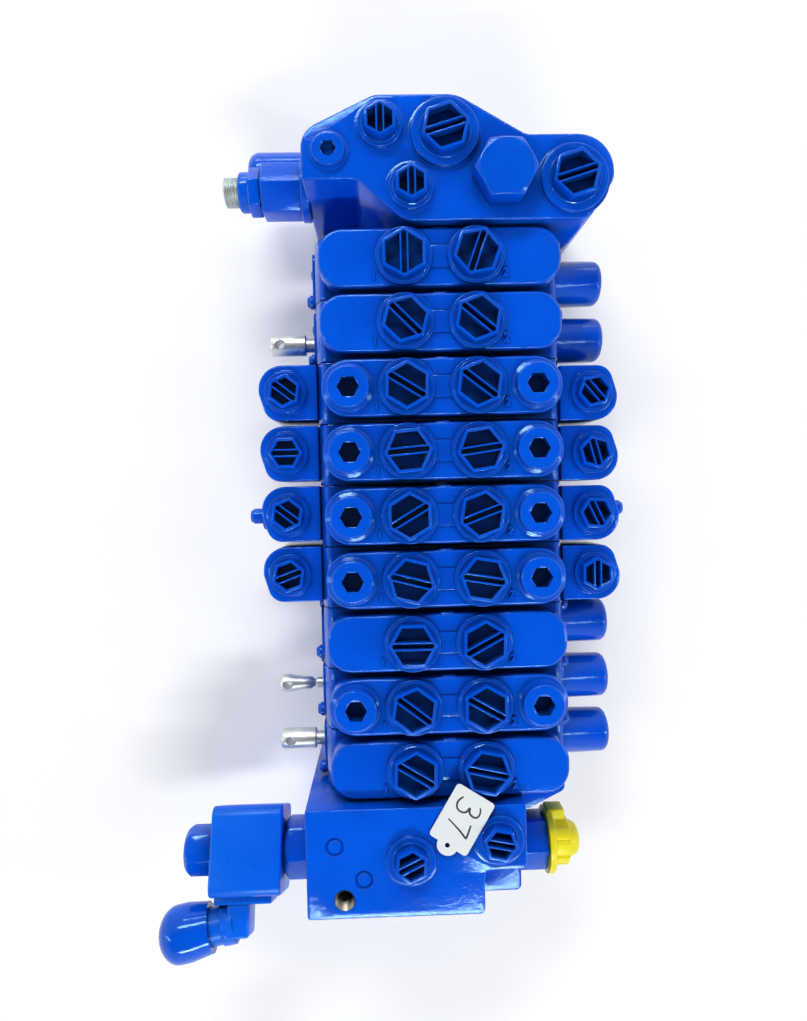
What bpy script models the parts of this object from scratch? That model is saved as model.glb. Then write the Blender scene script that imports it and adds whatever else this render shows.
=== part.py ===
"""Stackable hydraulic directional valve: nine spool sections clamped between an inlet and an end section.

Lengths are in metres. X runs along the spools, Y along the stack towards the inlet, Z up to the ports.
The origin lies under the middle of the whole part, on the plane that its two feet stand on.
"""

from math import atan2, cos, pi, radians, sin, tan

import bmesh
import bpy
from mathutils import Matrix, Vector

# Stack
SECTIONS = 9
PITCH = 0.040
SEAT_GAP = 0.0003
SLIDE_GAP = 0.0003
PORT_FACE_Z = 0.125
SPOOL_Z = 0.058

# Section casting
BODY_BOTTOM_Z = 0.007
BODY_FLARE_Z = 0.024
SHOULDER_Z = 0.103
SHOULDER_DROP = 0.011
BODY_CORNER = 0.005
PAD_SLIT = 0.004
PAD_WIDTH = PITCH - PAD_SLIT
PAD_CORNER = 0.0155
PORT_SPACING = 0.0446
PORT_BORE_DEPTH = 0.013

# Port plugs
PLUG_CLEARANCE = 0.0045
PLUG_FLANGE_DIAMETER = PITCH - PLUG_CLEARANCE
PLUG_FLANGE_THICKNESS = 0.003
PLUG_HEX_FLATS = 0.0265
PLUG_HEX_HEIGHT = 0.0072
PLUG_WALL = 0.0020
PLUG_RECESS_DEPTH = 0.0085
PLUG_RIB_THICKNESS = 0.0011
PLUG_RIB_SPACING = 0.0042
PLUG_RIB_DROP = 0.0006
PLUG_SPIGOT_DIAMETER = 0.022
PLUG_SPIGOT_LENGTH = 0.009

# Cartridge heads beside the ports of the pilot operated sections
HEAD_CLEARANCE = 0.0052
HEAD_DIAMETER = 0.0265
HEAD_SPACING = PORT_SPACING + PLUG_FLANGE_DIAMETER + 2 * HEAD_CLEARANCE + HEAD_DIAMETER
HEAD_HEIGHT = 0.0075
HEAD_SOCKET_FLATS = 0.012
HEAD_SOCKET_DEPTH = 0.006

# Widths of the casting, from the heads that it carries outwards
PAD_MARGIN = 0.00375
PAD_LENGTH = HEAD_SPACING + HEAD_DIAMETER + 2 * PAD_MARGIN
BODY_STANDOUT = 0.0045
BODY_WIDTH = PAD_LENGTH + 2 * BODY_STANDOUT
FOOT_INSET = 0.012
BODY_FOOT_WIDTH = BODY_WIDTH - 2 * FOOT_INSET
SHOULDER_INSET = 0.0040
SHOULDER_WIDTH = BODY_WIDTH - 2 * SHOULDER_INSET

# Spools
SPOOL_DIAMETER = 0.016
SPOOL_WAIST_DIAMETER = 0.011
SPOOL_TRAVEL = 0.007
SPOOL_END_MARGIN = 0.004
SPOOL_BODY_LENGTH = BODY_WIDTH - 2 * (SPOOL_TRAVEL + SPOOL_END_MARGIN)
SPOOL_CENTRE_LAND = 0.026
SPOOL_END_LAND = 0.034
SPOOL_STEM_DIAMETER = 0.009
SPOOL_STEM_LENGTH = 0.026
EYE_STANDOUT = 0.0355
EYE_END_X = -BODY_WIDTH / 2 - EYE_STANDOUT
EYE_DIAMETER = 0.0145
EYE_LENGTH = 0.025
EYE_CHAMFER = 0.0015
EYE_HOLE_DIAMETER = 0.006
EYE_HOLE_INSET = 0.0075
EYE_NECK_DIAMETER = 0.010
TAB_EYE_DIAMETER = 0.0126
TAB_EYE_CHAMFER = 0.0020
TAB_TAPER_DIAMETER = 0.0085
TAB_TAPER_END = 0.0175
TAB_NECK_DIAMETER = 0.0040
TAB_SHAFT_DIAMETER = 0.0076
TAB_LENGTH = 0.0265

# Covers and caps on the ends of the sections
COVER_CLEARANCE = 0.003
COVER_WIDTH = PITCH - COVER_CLEARANCE
COVER_HEIGHT = 0.045
COVER_CORNER = 0.006
COVER_THICKNESS = 0.003
SPRING_CAP_CLEARANCE = 0.008
SPRING_CAP_DIAMETER = PITCH - SPRING_CAP_CLEARANCE
SPRING_CAP_LENGTH = 0.0374
SPRING_CAP_WALL = 0.0035
SPRING_CAP_END = 0.006
PILOT_CAP_LENGTH = 0.0388
PILOT_CAP_CLEARANCE = 0.0034
PILOT_CAP_WIDTH = PITCH - PILOT_CAP_CLEARANCE
PILOT_CAP_TOP_Z = 0.095
PILOT_CAP_BOTTOM_Z = 0.033
PILOT_CAP_ROUND = PILOT_CAP_WIDTH / 2 - 0.0028
PILOT_CAP_SLANT = 0.0055
PILOT_CAP_CORNER = 0.0105
PILOT_CAP_SHIFT = 0.0018
PILOT_BORE_DIAMETER = 0.024
PILOT_BORE_DEPTH = 0.029
PILOT_PORT_INSET = 0.0179
PILOT_PLUG_FLANGE = 0.0275
PILOT_PLUG_HEX = 0.0195
BLEED_SECTION = 5
BLEED_DIAMETER = 0.0195
BLEED_LENGTH = 0.0045
BLEED_TIP_DIAMETER = 0.011
BLEED_TIP_LENGTH = 0.0091

# Inlet section
INLET_RISE = 0.005
INLET_DEPTH = 0.0767
INLET_LEFT_X = -0.0838
INLET_RIGHT_X = 0.1083
INLET_NOTCH_DEPTH = 0.0258
INLET_NOTCH_X = -0.0504
INLET_FRONT_LEFT_X = -0.0209
INLET_FRONT_RIGHT_X = 0.0925
INLET_LOBE_NEAR_Y = 0.0245
INLET_LOBE_FAR_Y = 0.0520
INLET_LOBE_LEFT_X = 0.0543
INLET_BACK_RIGHT_X = 0.0120
INLET_BACK_LEFT_X = -0.0386
INLET_SIDE_FAR_Y = 0.0551
INLET_ROUNDS = (0.002, 0.008, 0.010, 0.010, 0.012, 0.0225, 0.012, 0.025, 0.015, 0.016)
INLET_FLANGE_TOP_Z = 0.040
INLET_FLANGE_INSET = 0.002
INLET_EDGE = 0.0010
INLET_SMALL_PLUGS = ((-0.0351, 0.0575, 90.0), (-0.0170, 0.0203, 90.0))
INLET_LARGE_PLUGS = ((0.0040, 0.0525, 17.0), (0.0829, 0.0240, 17.0))
SMALL_PLUG_FLANGE = 0.0278
SMALL_PLUG_HEX = 0.0188
LARGE_PLUG_FLANGE = 0.0415
LARGE_PLUG_HEX = 0.0265
SOCKET_PLUG_X = -0.0668
SOCKET_PLUG_Y = 0.0425
SOCKET_PLUG_DIAMETER = 0.0205
SOCKET_PLUG_HEIGHT = 0.005
SOCKET_PLUG_FLATS = 0.0085
HEX_CAP_X = 0.0396
HEX_CAP_Y = 0.0262
HEX_CAP_FLATS = 0.034
HEX_CAP_HEIGHT = 0.016
HEX_CAP_EDGE = 0.002

# Relief valve and damper cap on the left side of the inlet
RELIEF_Y = 0.0385
RELIEF_Z = 0.080
RELIEF_BOSS_DIAMETER = 0.044
RELIEF_BOSS_LENGTH = 0.0045
RELIEF_BOSS_ROOT = 0.002
RELIEF_HEX_FLATS = 0.035
RELIEF_HEX_LENGTH = 0.026
RELIEF_NUT_FLATS = 0.030
RELIEF_NUT_LENGTH = 0.009
RELIEF_RING_DIAMETER = 0.0275
RELIEF_RING_LENGTH = 0.0067
RELIEF_SCREW_DIAMETER = 0.0195
RELIEF_SCREW_STANDOUT = 0.0095
RELIEF_SCREW_ENGAGED = 0.014
RELIEF_SOCKET_FLATS = 0.008
RELIEF_SOCKET_DEPTH = 0.006
DAMPER_Y = 0.063
DAMPER_Z = 0.045
DAMPER_DIAMETER = 0.034
DAMPER_LENGTH = 0.045
DAMPER_ROUND = 0.008
DAMPER_ROOT = 0.040

# End section
END_RISE = 0.009
END_DEPTH = 0.0684
END_STEP_DEPTH = 0.0410
END_LEFT_X = -0.0915
END_STEP_X = 0.0190
END_RIGHT_X = 0.0455
END_LEDGE_X = 0.0485
END_LEDGE_DEPTH = END_DEPTH + 0.0071
END_LEDGE_LEFT_X = -0.030
END_LEDGE_Z = 0.096
END_FLANGE_STANDOUT = 0.003
END_FLANGE_X = BODY_WIDTH / 2 + END_FLANGE_STANDOUT
END_FLANGE_DEPTH = 0.027
END_FLANGE_SLOPE = (0.025, 0.012)
END_FLANGE_Z = 0.080
END_CORNER = 0.004
END_PLUGS = ((-0.0265, -0.0320, 25.0), (0.0281, -0.0208, -12.0))
END_PLUG_FLANGE = 0.0305
END_PLUG_HEX = 0.0190
THREAD_HOLE_X = -0.0682
THREAD_HOLE_Y = -0.0565
THREAD_HOLE_DIAMETER = 0.0104
THREAD_HOLE_DEPTH = 0.024
FITTING_Y = -0.0510
FITTING_Z = 0.075
FITTING_FLATS = 0.0345
FITTING_LENGTH = 0.0200
FITTING_NECK_DIAMETER = 0.0260
FITTING_NECK_LENGTH = 0.0120
DUST_CAP_FLANGE = 0.0445
DUST_CAP_FLANGE_THICKNESS = 0.0045
DUST_CAP_BODY = 0.034
DUST_CAP_BODY_LENGTH = 0.0105
DUST_CAP_DOME = 0.0245
DUST_CAP_DOME_LENGTH = 0.0090

# Solenoid valve on the left side of the end section
SOLENOID_Y = -0.0485
SOLENOID_Z = 0.079
SOLENOID_TILT = 22.5
VALVE_HEX_FLATS = 0.036
VALVE_HEX_LENGTH = 0.0195
VALVE_SPIGOT_DIAMETER = 0.022
VALVE_SPIGOT_LENGTH = 0.018
VALVE_TUBE_DIAMETER = 0.018
COIL_LENGTH = 0.047
COIL_HEIGHT = 0.050
COIL_WIDTH = 0.056
COIL_CORNER = 0.007
COIL_NUT_FLATS = 0.0290
COIL_NUT_LENGTH = 0.0200
COIL_NUT_WALL = 0.0040
PLUG_BASE_LENGTH = 0.038
PLUG_BASE_SHIFT = -0.0024
PLUG_BASE_WIDTH = 0.028
PLUG_BASE_HEIGHT = 0.005
ELBOW_LENGTH = 0.0150
ELBOW_WIDTH = 0.0245
ELBOW_HEIGHT = 0.020
ELBOW_SHIFT = -0.0055
NECK_DIAMETER = 0.0240
NECK_DROP = 0.012
NECK_STANDOUT = 0.0115
NECK_ENGAGED = 0.009
CABLE_CAP_RIM = 0.0315
CABLE_CAP_DIAMETER = 0.0360
CABLE_CAP_LENGTH = 0.0345
CABLE_CAP_SLOPE = 10.0

# Tie rods
ROD_DIAMETER = 0.010
ROD_NUT_FLATS = 0.016
ROD_SIDE_X = END_LEDGE_X + ROD_NUT_FLATS / 2 / cos(pi / 6) + SEAT_GAP
ROD_SIDE_Z = 0.022
ROD_TOP_Z = 0.088
ROD_NUT_HEIGHT = 0.008
ROD_THREAD_DEPTH = 0.020

# Facets round a circle
ROUND_LARGE = 16
ROUND_SMALL = 12
ROUND_INNER = 10
ROUND_HIDDEN = 8

# Turn of the slots of the port plugs, in degrees, left and right of each section
PLUG_TURNS = ((90, 70), (-45, -40), (-32, -38), (5, 8), (30, 20), (-15, -10), (0, 28), (-38, -30), (-32, -13))
PILOT_TURNS = {3: (-38, -50), 4: (0, -75), 5: (-38, -65), 6: (20, 90)}
PILOT_SECTIONS = (3, 4, 5, 6)
HEADED_SECTIONS = (3, 4, 5, 6, 8)
SPRING_SECTIONS = (1, 2, 7, 8, 9)
EYE_SECTIONS = (2, 9)
TAB_SECTIONS = (8,)

STACK_HALF = SECTIONS * PITCH / 2
LEFT_FACE = -BODY_WIDTH / 2
RIGHT_FACE = BODY_WIDTH / 2

for old in list(bpy.data.objects):
    bpy.data.objects.remove(old, do_unlink=True)

parts = bpy.data.collections.new("directional_valve")
cutters = bpy.data.collections.new("cutters")
bpy.context.scene.collection.children.link(parts)
bpy.context.scene.collection.children.link(cutters)


def helper(name, data, matrix=None):
    """An object that only lends its shape: it is kept out of renders and drawn as wire."""
    obj = bpy.data.objects.new(name, data)
    cutters.objects.link(obj)
    obj.hide_render = True
    obj.display_type = "WIRE"
    if matrix is not None:
        obj.matrix_world = matrix
    return obj


def evaluated_mesh(obj, flatten=False):
    """The mesh of an object with its modifiers, in world coordinates and with its seams welded."""
    bpy.context.view_layer.update()
    graph = bpy.context.evaluated_depsgraph_get()
    mesh = bpy.data.meshes.new_from_object(obj.evaluated_get(graph))
    mesh.transform(obj.matrix_world)
    shape = bmesh.new()
    shape.from_mesh(mesh)
    bmesh.ops.remove_doubles(shape, verts=shape.verts, dist=1e-6)
    bmesh.ops.dissolve_degenerate(shape, edges=shape.edges, dist=1e-7)
    if flatten:
        bmesh.ops.dissolve_limit(shape, angle_limit=radians(0.2), verts=shape.verts, edges=shape.edges)
    shape.to_mesh(mesh)
    shape.free()
    return mesh


def fixed(obj, flatten=False):
    """Replaces a helper by a plain mesh helper in world coordinates."""
    mesh = evaluated_mesh(obj, flatten)
    bpy.data.objects.remove(obj, do_unlink=True)
    return helper(mesh.name, mesh)


AXIS_X = Matrix(((0, 0, 1), (0, 1, 0), (-1, 0, 0))).to_4x4()
AXIS_LEFT = Matrix(((0, 0, -1), (0, -1, 0), (-1, 0, 0))).to_4x4()


def at(x=0.0, y=0.0, z=0.0):
    return Matrix.Translation(Vector((x, y, z)))


def column(sides, radius, low, high, matrix=None, top_radius=None):
    """A prism or cylinder about local Z."""
    shape = bmesh.new()
    bmesh.ops.create_cone(
        shape,
        cap_ends=True,
        segments=sides,
        radius1=radius,
        radius2=radius if top_radius is None else top_radius,
        depth=high - low,
        matrix=at(z=(low + high) / 2),
    )
    mesh = bpy.data.meshes.new("column")
    shape.to_mesh(mesh)
    shape.free()
    return helper("column", mesh, matrix)


def clear_radius(radius, gap, sides):
    """The radius of a faceted bore whose flats clear a round shaft by the gap."""
    return (radius + gap) / cos(pi / sides)


def hexagon(flats, low, high, matrix=None):
    """A hexagonal prism whose flats face local X."""
    turn = Matrix.Rotation(radians(30), 4, "Z")
    return column(6, flats / 2 / cos(pi / 6), low, high, (matrix or Matrix()) @ turn)


def block(x, y, z, matrix=None):
    """A box given by its ranges along each axis."""
    shape = bmesh.new()
    bmesh.ops.create_cube(
        shape,
        size=1.0,
        matrix=at((x[0] + x[1]) / 2, (y[0] + y[1]) / 2, (z[0] + z[1]) / 2)
        @ Matrix.Diagonal((x[1] - x[0], y[1] - y[0], z[1] - z[0], 1.0)),
    )
    mesh = bpy.data.meshes.new("block")
    shape.to_mesh(mesh)
    shape.free()
    return helper("block", mesh, matrix)


def rounded(corners, steps=4):
    """The corners (x, y, radius) of an outline with each one replaced by an arc."""
    points = []
    count = len(corners)
    for i, (x, y, radius) in enumerate(corners):
        here = Vector((x, y))
        before = (Vector(corners[i - 1][:2]) - here).normalized()
        after = (Vector(corners[(i + 1) % count][:2]) - here).normalized()
        half = before.angle(after) / 2
        if radius <= 0 or half > radians(89):
            points.append((x, y))
            continue
        centre = here + (before + after).normalized() * (radius / sin(half))
        first = here + before * (radius / tan(half)) - centre
        last = here + after * (radius / tan(half)) - centre
        start, sweep = atan2(first.y, first.x), 0.0
        sweep = (atan2(last.y, last.x) - start + pi) % (2 * pi) - pi
        for k in range(steps + 1):
            angle = start + sweep * k / steps
            points.append((centre.x + radius * cos(angle), centre.y + radius * sin(angle)))
    return points


def plate(points, low, high, matrix=None):
    """A flat outline in local XY with a thickness along local Z."""
    if sum(points[i - 1][0] * y - x * points[i - 1][1] for i, (x, y) in enumerate(points)) < 0:
        points = points[::-1]
    curve = bpy.data.curves.new("outline", "CURVE")
    curve.dimensions = "2D"
    curve.fill_mode = "BOTH"
    curve.extrude = (high - low) / 2
    spline = curve.splines.new("POLY")
    spline.points.add(len(points) - 1)
    for point, (x, y) in zip(spline.points, points):
        point.co = (x, y, 0.0, 1.0)
    spline.use_cyclic_u = True
    outline = helper("outline", curve, (matrix or Matrix()) @ at(z=(low + high) / 2))
    return fixed(outline, flatten=True)


def box_outline(x, y, radius, steps=4):
    return rounded(
        [(x[0], y[0], radius), (x[1], y[0], radius), (x[1], y[1], radius), (x[0], y[1], radius)], steps
    )


def turned(profile, sides, matrix=None):
    """A profile of (radius, height), from the top end down its outer side, turned about local Z."""
    mesh = bpy.data.meshes.new("profile")
    mesh.from_pydata([(r, 0.0, z) for r, z in profile], [(i, i + 1) for i in range(len(profile) - 1)], [])
    obj = helper("turned", mesh, matrix)
    screw = obj.modifiers.new("turn", "SCREW")
    screw.steps = screw.render_steps = sides
    screw.use_merge_vertices = True
    screw.merge_threshold = 0.000001
    return fixed(obj)


def softened(obj, width, segments=1, angle=40):
    """Rounds the edges of a shape."""
    bevel = obj.modifiers.new("edges", "BEVEL")
    bevel.width = width
    bevel.segments = segments
    bevel.limit_method = "ANGLE"
    bevel.angle_limit = radians(angle)
    return fixed(obj)


def combined(base, add=(), cut=()):
    """The base with shapes joined to it and then others cut from it."""
    for kind, shapes in (("UNION", add), ("DIFFERENCE", cut)):
        for shape in shapes:
            boolean = base.modifiers.new(kind.lower(), "BOOLEAN")
            boolean.operation = kind
            boolean.solver = "EXACT"
            boolean.object = shape
    result = fixed(base)
    for shape in [*add, *cut]:
        bpy.data.objects.remove(shape, do_unlink=True)
    return result


def paint(name, colour, roughness, metallic):
    material = bpy.data.materials.new(name)
    material.use_nodes = True
    shader = material.node_tree.nodes["Principled BSDF"]
    shader.inputs["Base Color"].default_value = (*colour, 1.0)
    shader.inputs["Roughness"].default_value = roughness
    shader.inputs["Metallic"].default_value = metallic
    return material


BLUE = (0.0, 0.085, 0.66)
ZINC = (0.62, 0.63, 0.62)
YELLOW = (0.92, 0.80, 0.02)

root = bpy.data.objects.new("valve_stack", None)
parts.objects.link(root)
placed = []


def piece(name, mesh, finish, origin=(0.0, 0.0, 0.0), turn=0.0, smooth=32):
    """A finished part: its mesh is given about its own origin, which then goes to its place."""
    if smooth and not mesh.get("shaded"):
        mesh.shade_smooth()
        mesh.set_sharp_from_angle(angle=radians(smooth))
        mesh["shaded"] = True
    obj = bpy.data.objects.new(name, mesh)
    parts.objects.link(obj)
    obj.parent = root
    obj.location = origin
    obj.rotation_euler = (0.0, 0.0, radians(turn))
    colour, roughness, metallic = finish
    if not mesh.materials:
        mesh.materials.append(None)
    obj.material_slots[0].link = "OBJECT"
    obj.material_slots[0].material = paint(name + "_finish", colour, roughness, metallic)
    placed.append(obj)
    return obj


def mesh_of(shape, name):
    mesh = shape.data
    mesh.name = name
    bpy.data.objects.remove(shape, do_unlink=True)
    return mesh


def slot_plug(flange, hex_flats, spigot=None, matrix=None, sides=ROUND_LARGE):
    """A screw plug: round flange, hollow hexagon and a driver slot between two ribs along local X."""
    top = SEAT_GAP + PLUG_FLANGE_THICKNESS + PLUG_HEX_HEIGHT
    low = SEAT_GAP if spigot else -PLUG_FLANGE_THICKNESS / 2
    face = SEAT_GAP + PLUG_FLANGE_THICKNESS
    body = column(sides, flange / 2, low, face)
    floor = top - PLUG_RECESS_DEPTH
    cup = [hexagon(hex_flats, face - 0.001, top)]
    if spigot:
        cup.append(column(ROUND_HIDDEN, spigot / 2, -PLUG_SPIGOT_LENGTH, low + 0.001))
    recess = hexagon(hex_flats - 2 * PLUG_WALL, floor, top + 0.001)
    reach = hex_flats / 2 - PLUG_WALL / 2
    inner = PLUG_RIB_SPACING / 2 - PLUG_RIB_THICKNESS / 2
    ribs = [
        block((-reach, reach), (inner, inner + PLUG_RIB_THICKNESS), (floor - 0.0005, top - PLUG_RIB_DROP)),
        block((-reach, reach), (-inner - PLUG_RIB_THICKNESS, -inner), (floor - 0.0005, top - PLUG_RIB_DROP)),
    ]
    hollow = combined(combined(body, cup), cut=[recess])
    plug = combined(hollow, ribs)
    if matrix is not None:
        plug.matrix_world = matrix
        plug = fixed(plug)
    return plug


def cover_plate(x, outward, thickness):
    """The cover flange on the end face of a section, with cut corners."""
    outline = box_outline(
        (-COVER_HEIGHT / 2, COVER_HEIGHT / 2), (-COVER_WIDTH / 2, COVER_WIDTH / 2), COVER_CORNER, 1
    )
    ends = sorted((x, x + outward * thickness))
    return plate(outline, ends[0], ends[1], at(0, 0, SPOOL_Z) @ AXIS_X)


def rod_holes(low_y, high_y, clearance=SLIDE_GAP):
    """Cutters for the three tie rods, between two places along the stack."""
    turn = Matrix.Rotation(radians(-90), 4, "X")
    return [
        column(ROUND_HIDDEN, ROD_DIAMETER / 2 + clearance, low_y, high_y, at(x, 0, z) @ turn)
        for x, z in rod_places()
    ]


def rod_places():
    return ((-ROD_SIDE_X, ROD_SIDE_Z), (ROD_SIDE_X, ROD_SIDE_Z), (0.0, ROD_TOP_Z))


def section_mesh(headed, cover):
    """The casting of one section, about the middle of its footprint."""
    half = (PITCH - SEAT_GAP) / 2
    w, s = BODY_WIDTH / 2, SHOULDER_WIDTH / 2
    side = rounded(
        [
            (-BODY_FOOT_WIDTH / 2, BODY_BOTTOM_Z, BODY_CORNER),
            (BODY_FOOT_WIDTH / 2, BODY_BOTTOM_Z, BODY_CORNER),
            (w, BODY_FLARE_Z, BODY_CORNER),
            (w, SHOULDER_Z - SHOULDER_DROP, BODY_CORNER),
            (s, SHOULDER_Z, BODY_CORNER),
            (-s, SHOULDER_Z, BODY_CORNER),
            (-w, SHOULDER_Z - SHOULDER_DROP, BODY_CORNER),
            (-w, BODY_FLARE_Z, BODY_CORNER),
        ],
        1,
    )
    upright = Matrix.Rotation(radians(90), 4, "X")
    body = plate(side, -half, half, upright)
    corner = min(PAD_WIDTH / 2 - 0.0002, PAD_CORNER + (0.002 if headed else 0.0))
    pad = plate(
        box_outline((-PAD_LENGTH / 2, PAD_LENGTH / 2), (-PAD_WIDTH / 2, PAD_WIDTH / 2), corner, 3),
        SHOULDER_Z - 0.004,
        PORT_FACE_Z,
    )
    add = [pad]
    bore = clear_radius(SPOOL_DIAMETER / 2, SLIDE_GAP, ROUND_INNER)
    cut = [column(ROUND_INNER, bore, LEFT_FACE - 0.02, RIGHT_FACE + 0.02, at(0, 0, SPOOL_Z) @ AXIS_X)]
    cut += rod_holes(-half - 0.001, half + 0.001)
    for side_sign in (-1, 1):
        port = at(side_sign * PORT_SPACING / 2, 0, PORT_FACE_Z)
        cut.append(
            column(
                ROUND_HIDDEN,
                clear_radius(PLUG_SPIGOT_DIAMETER / 2, SEAT_GAP, ROUND_HIDDEN),
                -PORT_BORE_DEPTH,
                0.001,
                port,
            )
        )
        if headed:
            place = at(side_sign * HEAD_SPACING / 2, 0, PORT_FACE_Z)
            add.append(column(ROUND_SMALL, HEAD_DIAMETER / 2, -0.002, HEAD_HEIGHT, place))
            cut.append(hexagon(HEAD_SOCKET_FLATS, HEAD_HEIGHT - HEAD_SOCKET_DEPTH, HEAD_HEIGHT + 0.001, place))
    if cover == "blind":
        cut[0].location.x += 0.02
    if cover:
        add.append(cover_plate(LEFT_FACE + 0.001, -1, COVER_THICKNESS + 0.001))
    return mesh_of(combined(body, add, cut), "section_" + (cover or "open") + ("_headed" if headed else ""))


def spool_mesh(kind):
    """A spool along X about the middle of its bore; kinds differ in what is on their ends."""
    r, waist, stem = SPOOL_DIAMETER / 2, SPOOL_WAIST_DIAMETER / 2, SPOOL_STEM_DIAMETER / 2
    half, mid = SPOOL_BODY_LENGTH / 2, SPOOL_CENTRE_LAND / 2
    land = half - SPOOL_END_LAND
    right = half + SPOOL_STEM_LENGTH
    profile = [(0.0, right), (stem, right), (stem, half), (r, half), (r, land), (waist, land)]
    profile += [(waist, mid), (r, mid), (r, -mid), (waist, -mid), (waist, -land), (r, -land), (r, -half)]
    cut = []
    if kind == "pilot":
        profile += [(stem, -half), (stem, -right), (0.0, -right)]
    elif kind == "blind":
        profile += [(0.0, -half)]
    elif kind == "eye":
        neck, eye = EYE_NECK_DIAMETER / 2, EYE_DIAMETER / 2
        root_x, tip = EYE_END_X + EYE_LENGTH, EYE_END_X
        profile += [(neck, -half), (neck, root_x), (eye, root_x), (eye, tip + EYE_CHAMFER)]
        profile += [(eye - EYE_CHAMFER, tip), (0.0, tip)]
        cut.append(column(8, EYE_HOLE_DIAMETER / 2, -0.02, 0.02, at(tip + EYE_HOLE_INSET)))
    else:
        shaft, neck, taper = TAB_SHAFT_DIAMETER / 2, TAB_NECK_DIAMETER / 2, TAB_TAPER_DIAMETER / 2
        root_x, tip, eye = EYE_END_X + TAB_LENGTH, EYE_END_X, TAB_EYE_DIAMETER / 2
        profile += [(shaft, -half), (shaft, root_x), (neck, root_x), (neck, root_x - 0.001)]
        profile += [(taper, root_x - 0.004), (taper, tip + TAB_TAPER_END), (eye, tip + eye + TAB_EYE_CHAMFER)]
        profile += [(eye, tip + TAB_EYE_CHAMFER), (eye - TAB_EYE_CHAMFER, tip), (0.0, tip)]
        cut.append(column(8, EYE_HOLE_DIAMETER / 2, -0.02, 0.02, at(tip + eye)))
    body = turned(profile, ROUND_INNER, AXIS_X)
    return mesh_of(combined(body, cut=cut) if cut else body, "spool_" + kind)


def spring_cap_mesh():
    """The hollow round cap over the centring spring, standing on its cover flange."""
    start = RIGHT_FACE + SEAT_GAP
    end = start + SPRING_CAP_LENGTH
    r = SPRING_CAP_DIAMETER / 2
    soft = 0.005
    arc = [(r - soft + soft * sin(a), end - soft + soft * cos(a)) for a in (0.0, pi / 4, pi / 2)]
    flange = cover_plate(start, 1, COVER_THICKNESS)
    can = turned([(0.0, end), *arc, (r, start + 0.001), (0.0, start + 0.001)], ROUND_LARGE, at(0, 0, SPOOL_Z) @ AXIS_X)
    inner = column(
        ROUND_INNER, r - SPRING_CAP_WALL, start - 0.001, end - SPRING_CAP_END, at(0, 0, SPOOL_Z) @ AXIS_X
    )
    return mesh_of(combined(flange, [can], [inner]), "spring_cap")


def pilot_cap(section, side):
    """A pilot head on one end of a section: a block with a round outer end, its port plug on top."""
    half = PILOT_CAP_WIDTH / 2
    start, end = SEAT_GAP, SEAT_GAP + PILOT_CAP_LENGTH
    outline = rounded(
        [
            (start, -half, 0.0),
            (start, half, 0.0),
            (end, half, PILOT_CAP_ROUND),
            (end, 0.0, 0.012),
            (end - PILOT_CAP_SLANT, -half, PILOT_CAP_CORNER),
        ],
        3,
    )
    outline = [(x, y + PILOT_CAP_SHIFT) for x, y in outline]
    mirror = Matrix.Diagonal((-1, 1, 1, 1)) if side < 0 else Matrix.Diagonal((1, -1, 1, 1))
    body = plate([(x * mirror[0][0], y * mirror[1][1]) for x, y in outline], PILOT_CAP_BOTTOM_Z, PILOT_CAP_TOP_Z)
    turn = PILOT_TURNS[section][0 if side < 0 else 1]
    port = at(side * (end - PILOT_PORT_INSET), -side * PILOT_CAP_SHIFT, PILOT_CAP_TOP_Z)
    plug = slot_plug(
        PILOT_PLUG_FLANGE, PILOT_PLUG_HEX, matrix=port @ Matrix.Rotation(radians(turn), 4, "Z"), sides=ROUND_SMALL
    )
    bore = column(
        ROUND_INNER,
        PILOT_BORE_DIAMETER / 2,
        -0.002,
        start + PILOT_BORE_DEPTH,
        at(0, 0, SPOOL_Z) @ (AXIS_X if side > 0 else AXIS_LEFT),
    )
    add = [plug]
    if section == BLEED_SECTION:
        tip, base = BLEED_TIP_DIAMETER / 2, BLEED_DIAMETER / 2
        top = end + BLEED_LENGTH + BLEED_TIP_LENGTH
        add.append(
            turned(
                [
                    (0.0, top),
                    (tip - 0.001, top),
                    (tip, top - 0.001),
                    (tip, end + BLEED_LENGTH),
                    (base - 0.001, end + BLEED_LENGTH),
                    (base, end + BLEED_LENGTH - 0.001),
                    (base, end - 0.003),
                    (0.0, end - 0.003),
                ],
                ROUND_SMALL,
                at(0, 0, SPOOL_Z) @ (AXIS_X if side > 0 else AXIS_LEFT),
            )
        )
    return mesh_of(combined(body, add, [bore]), "pilot_cap")


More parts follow.
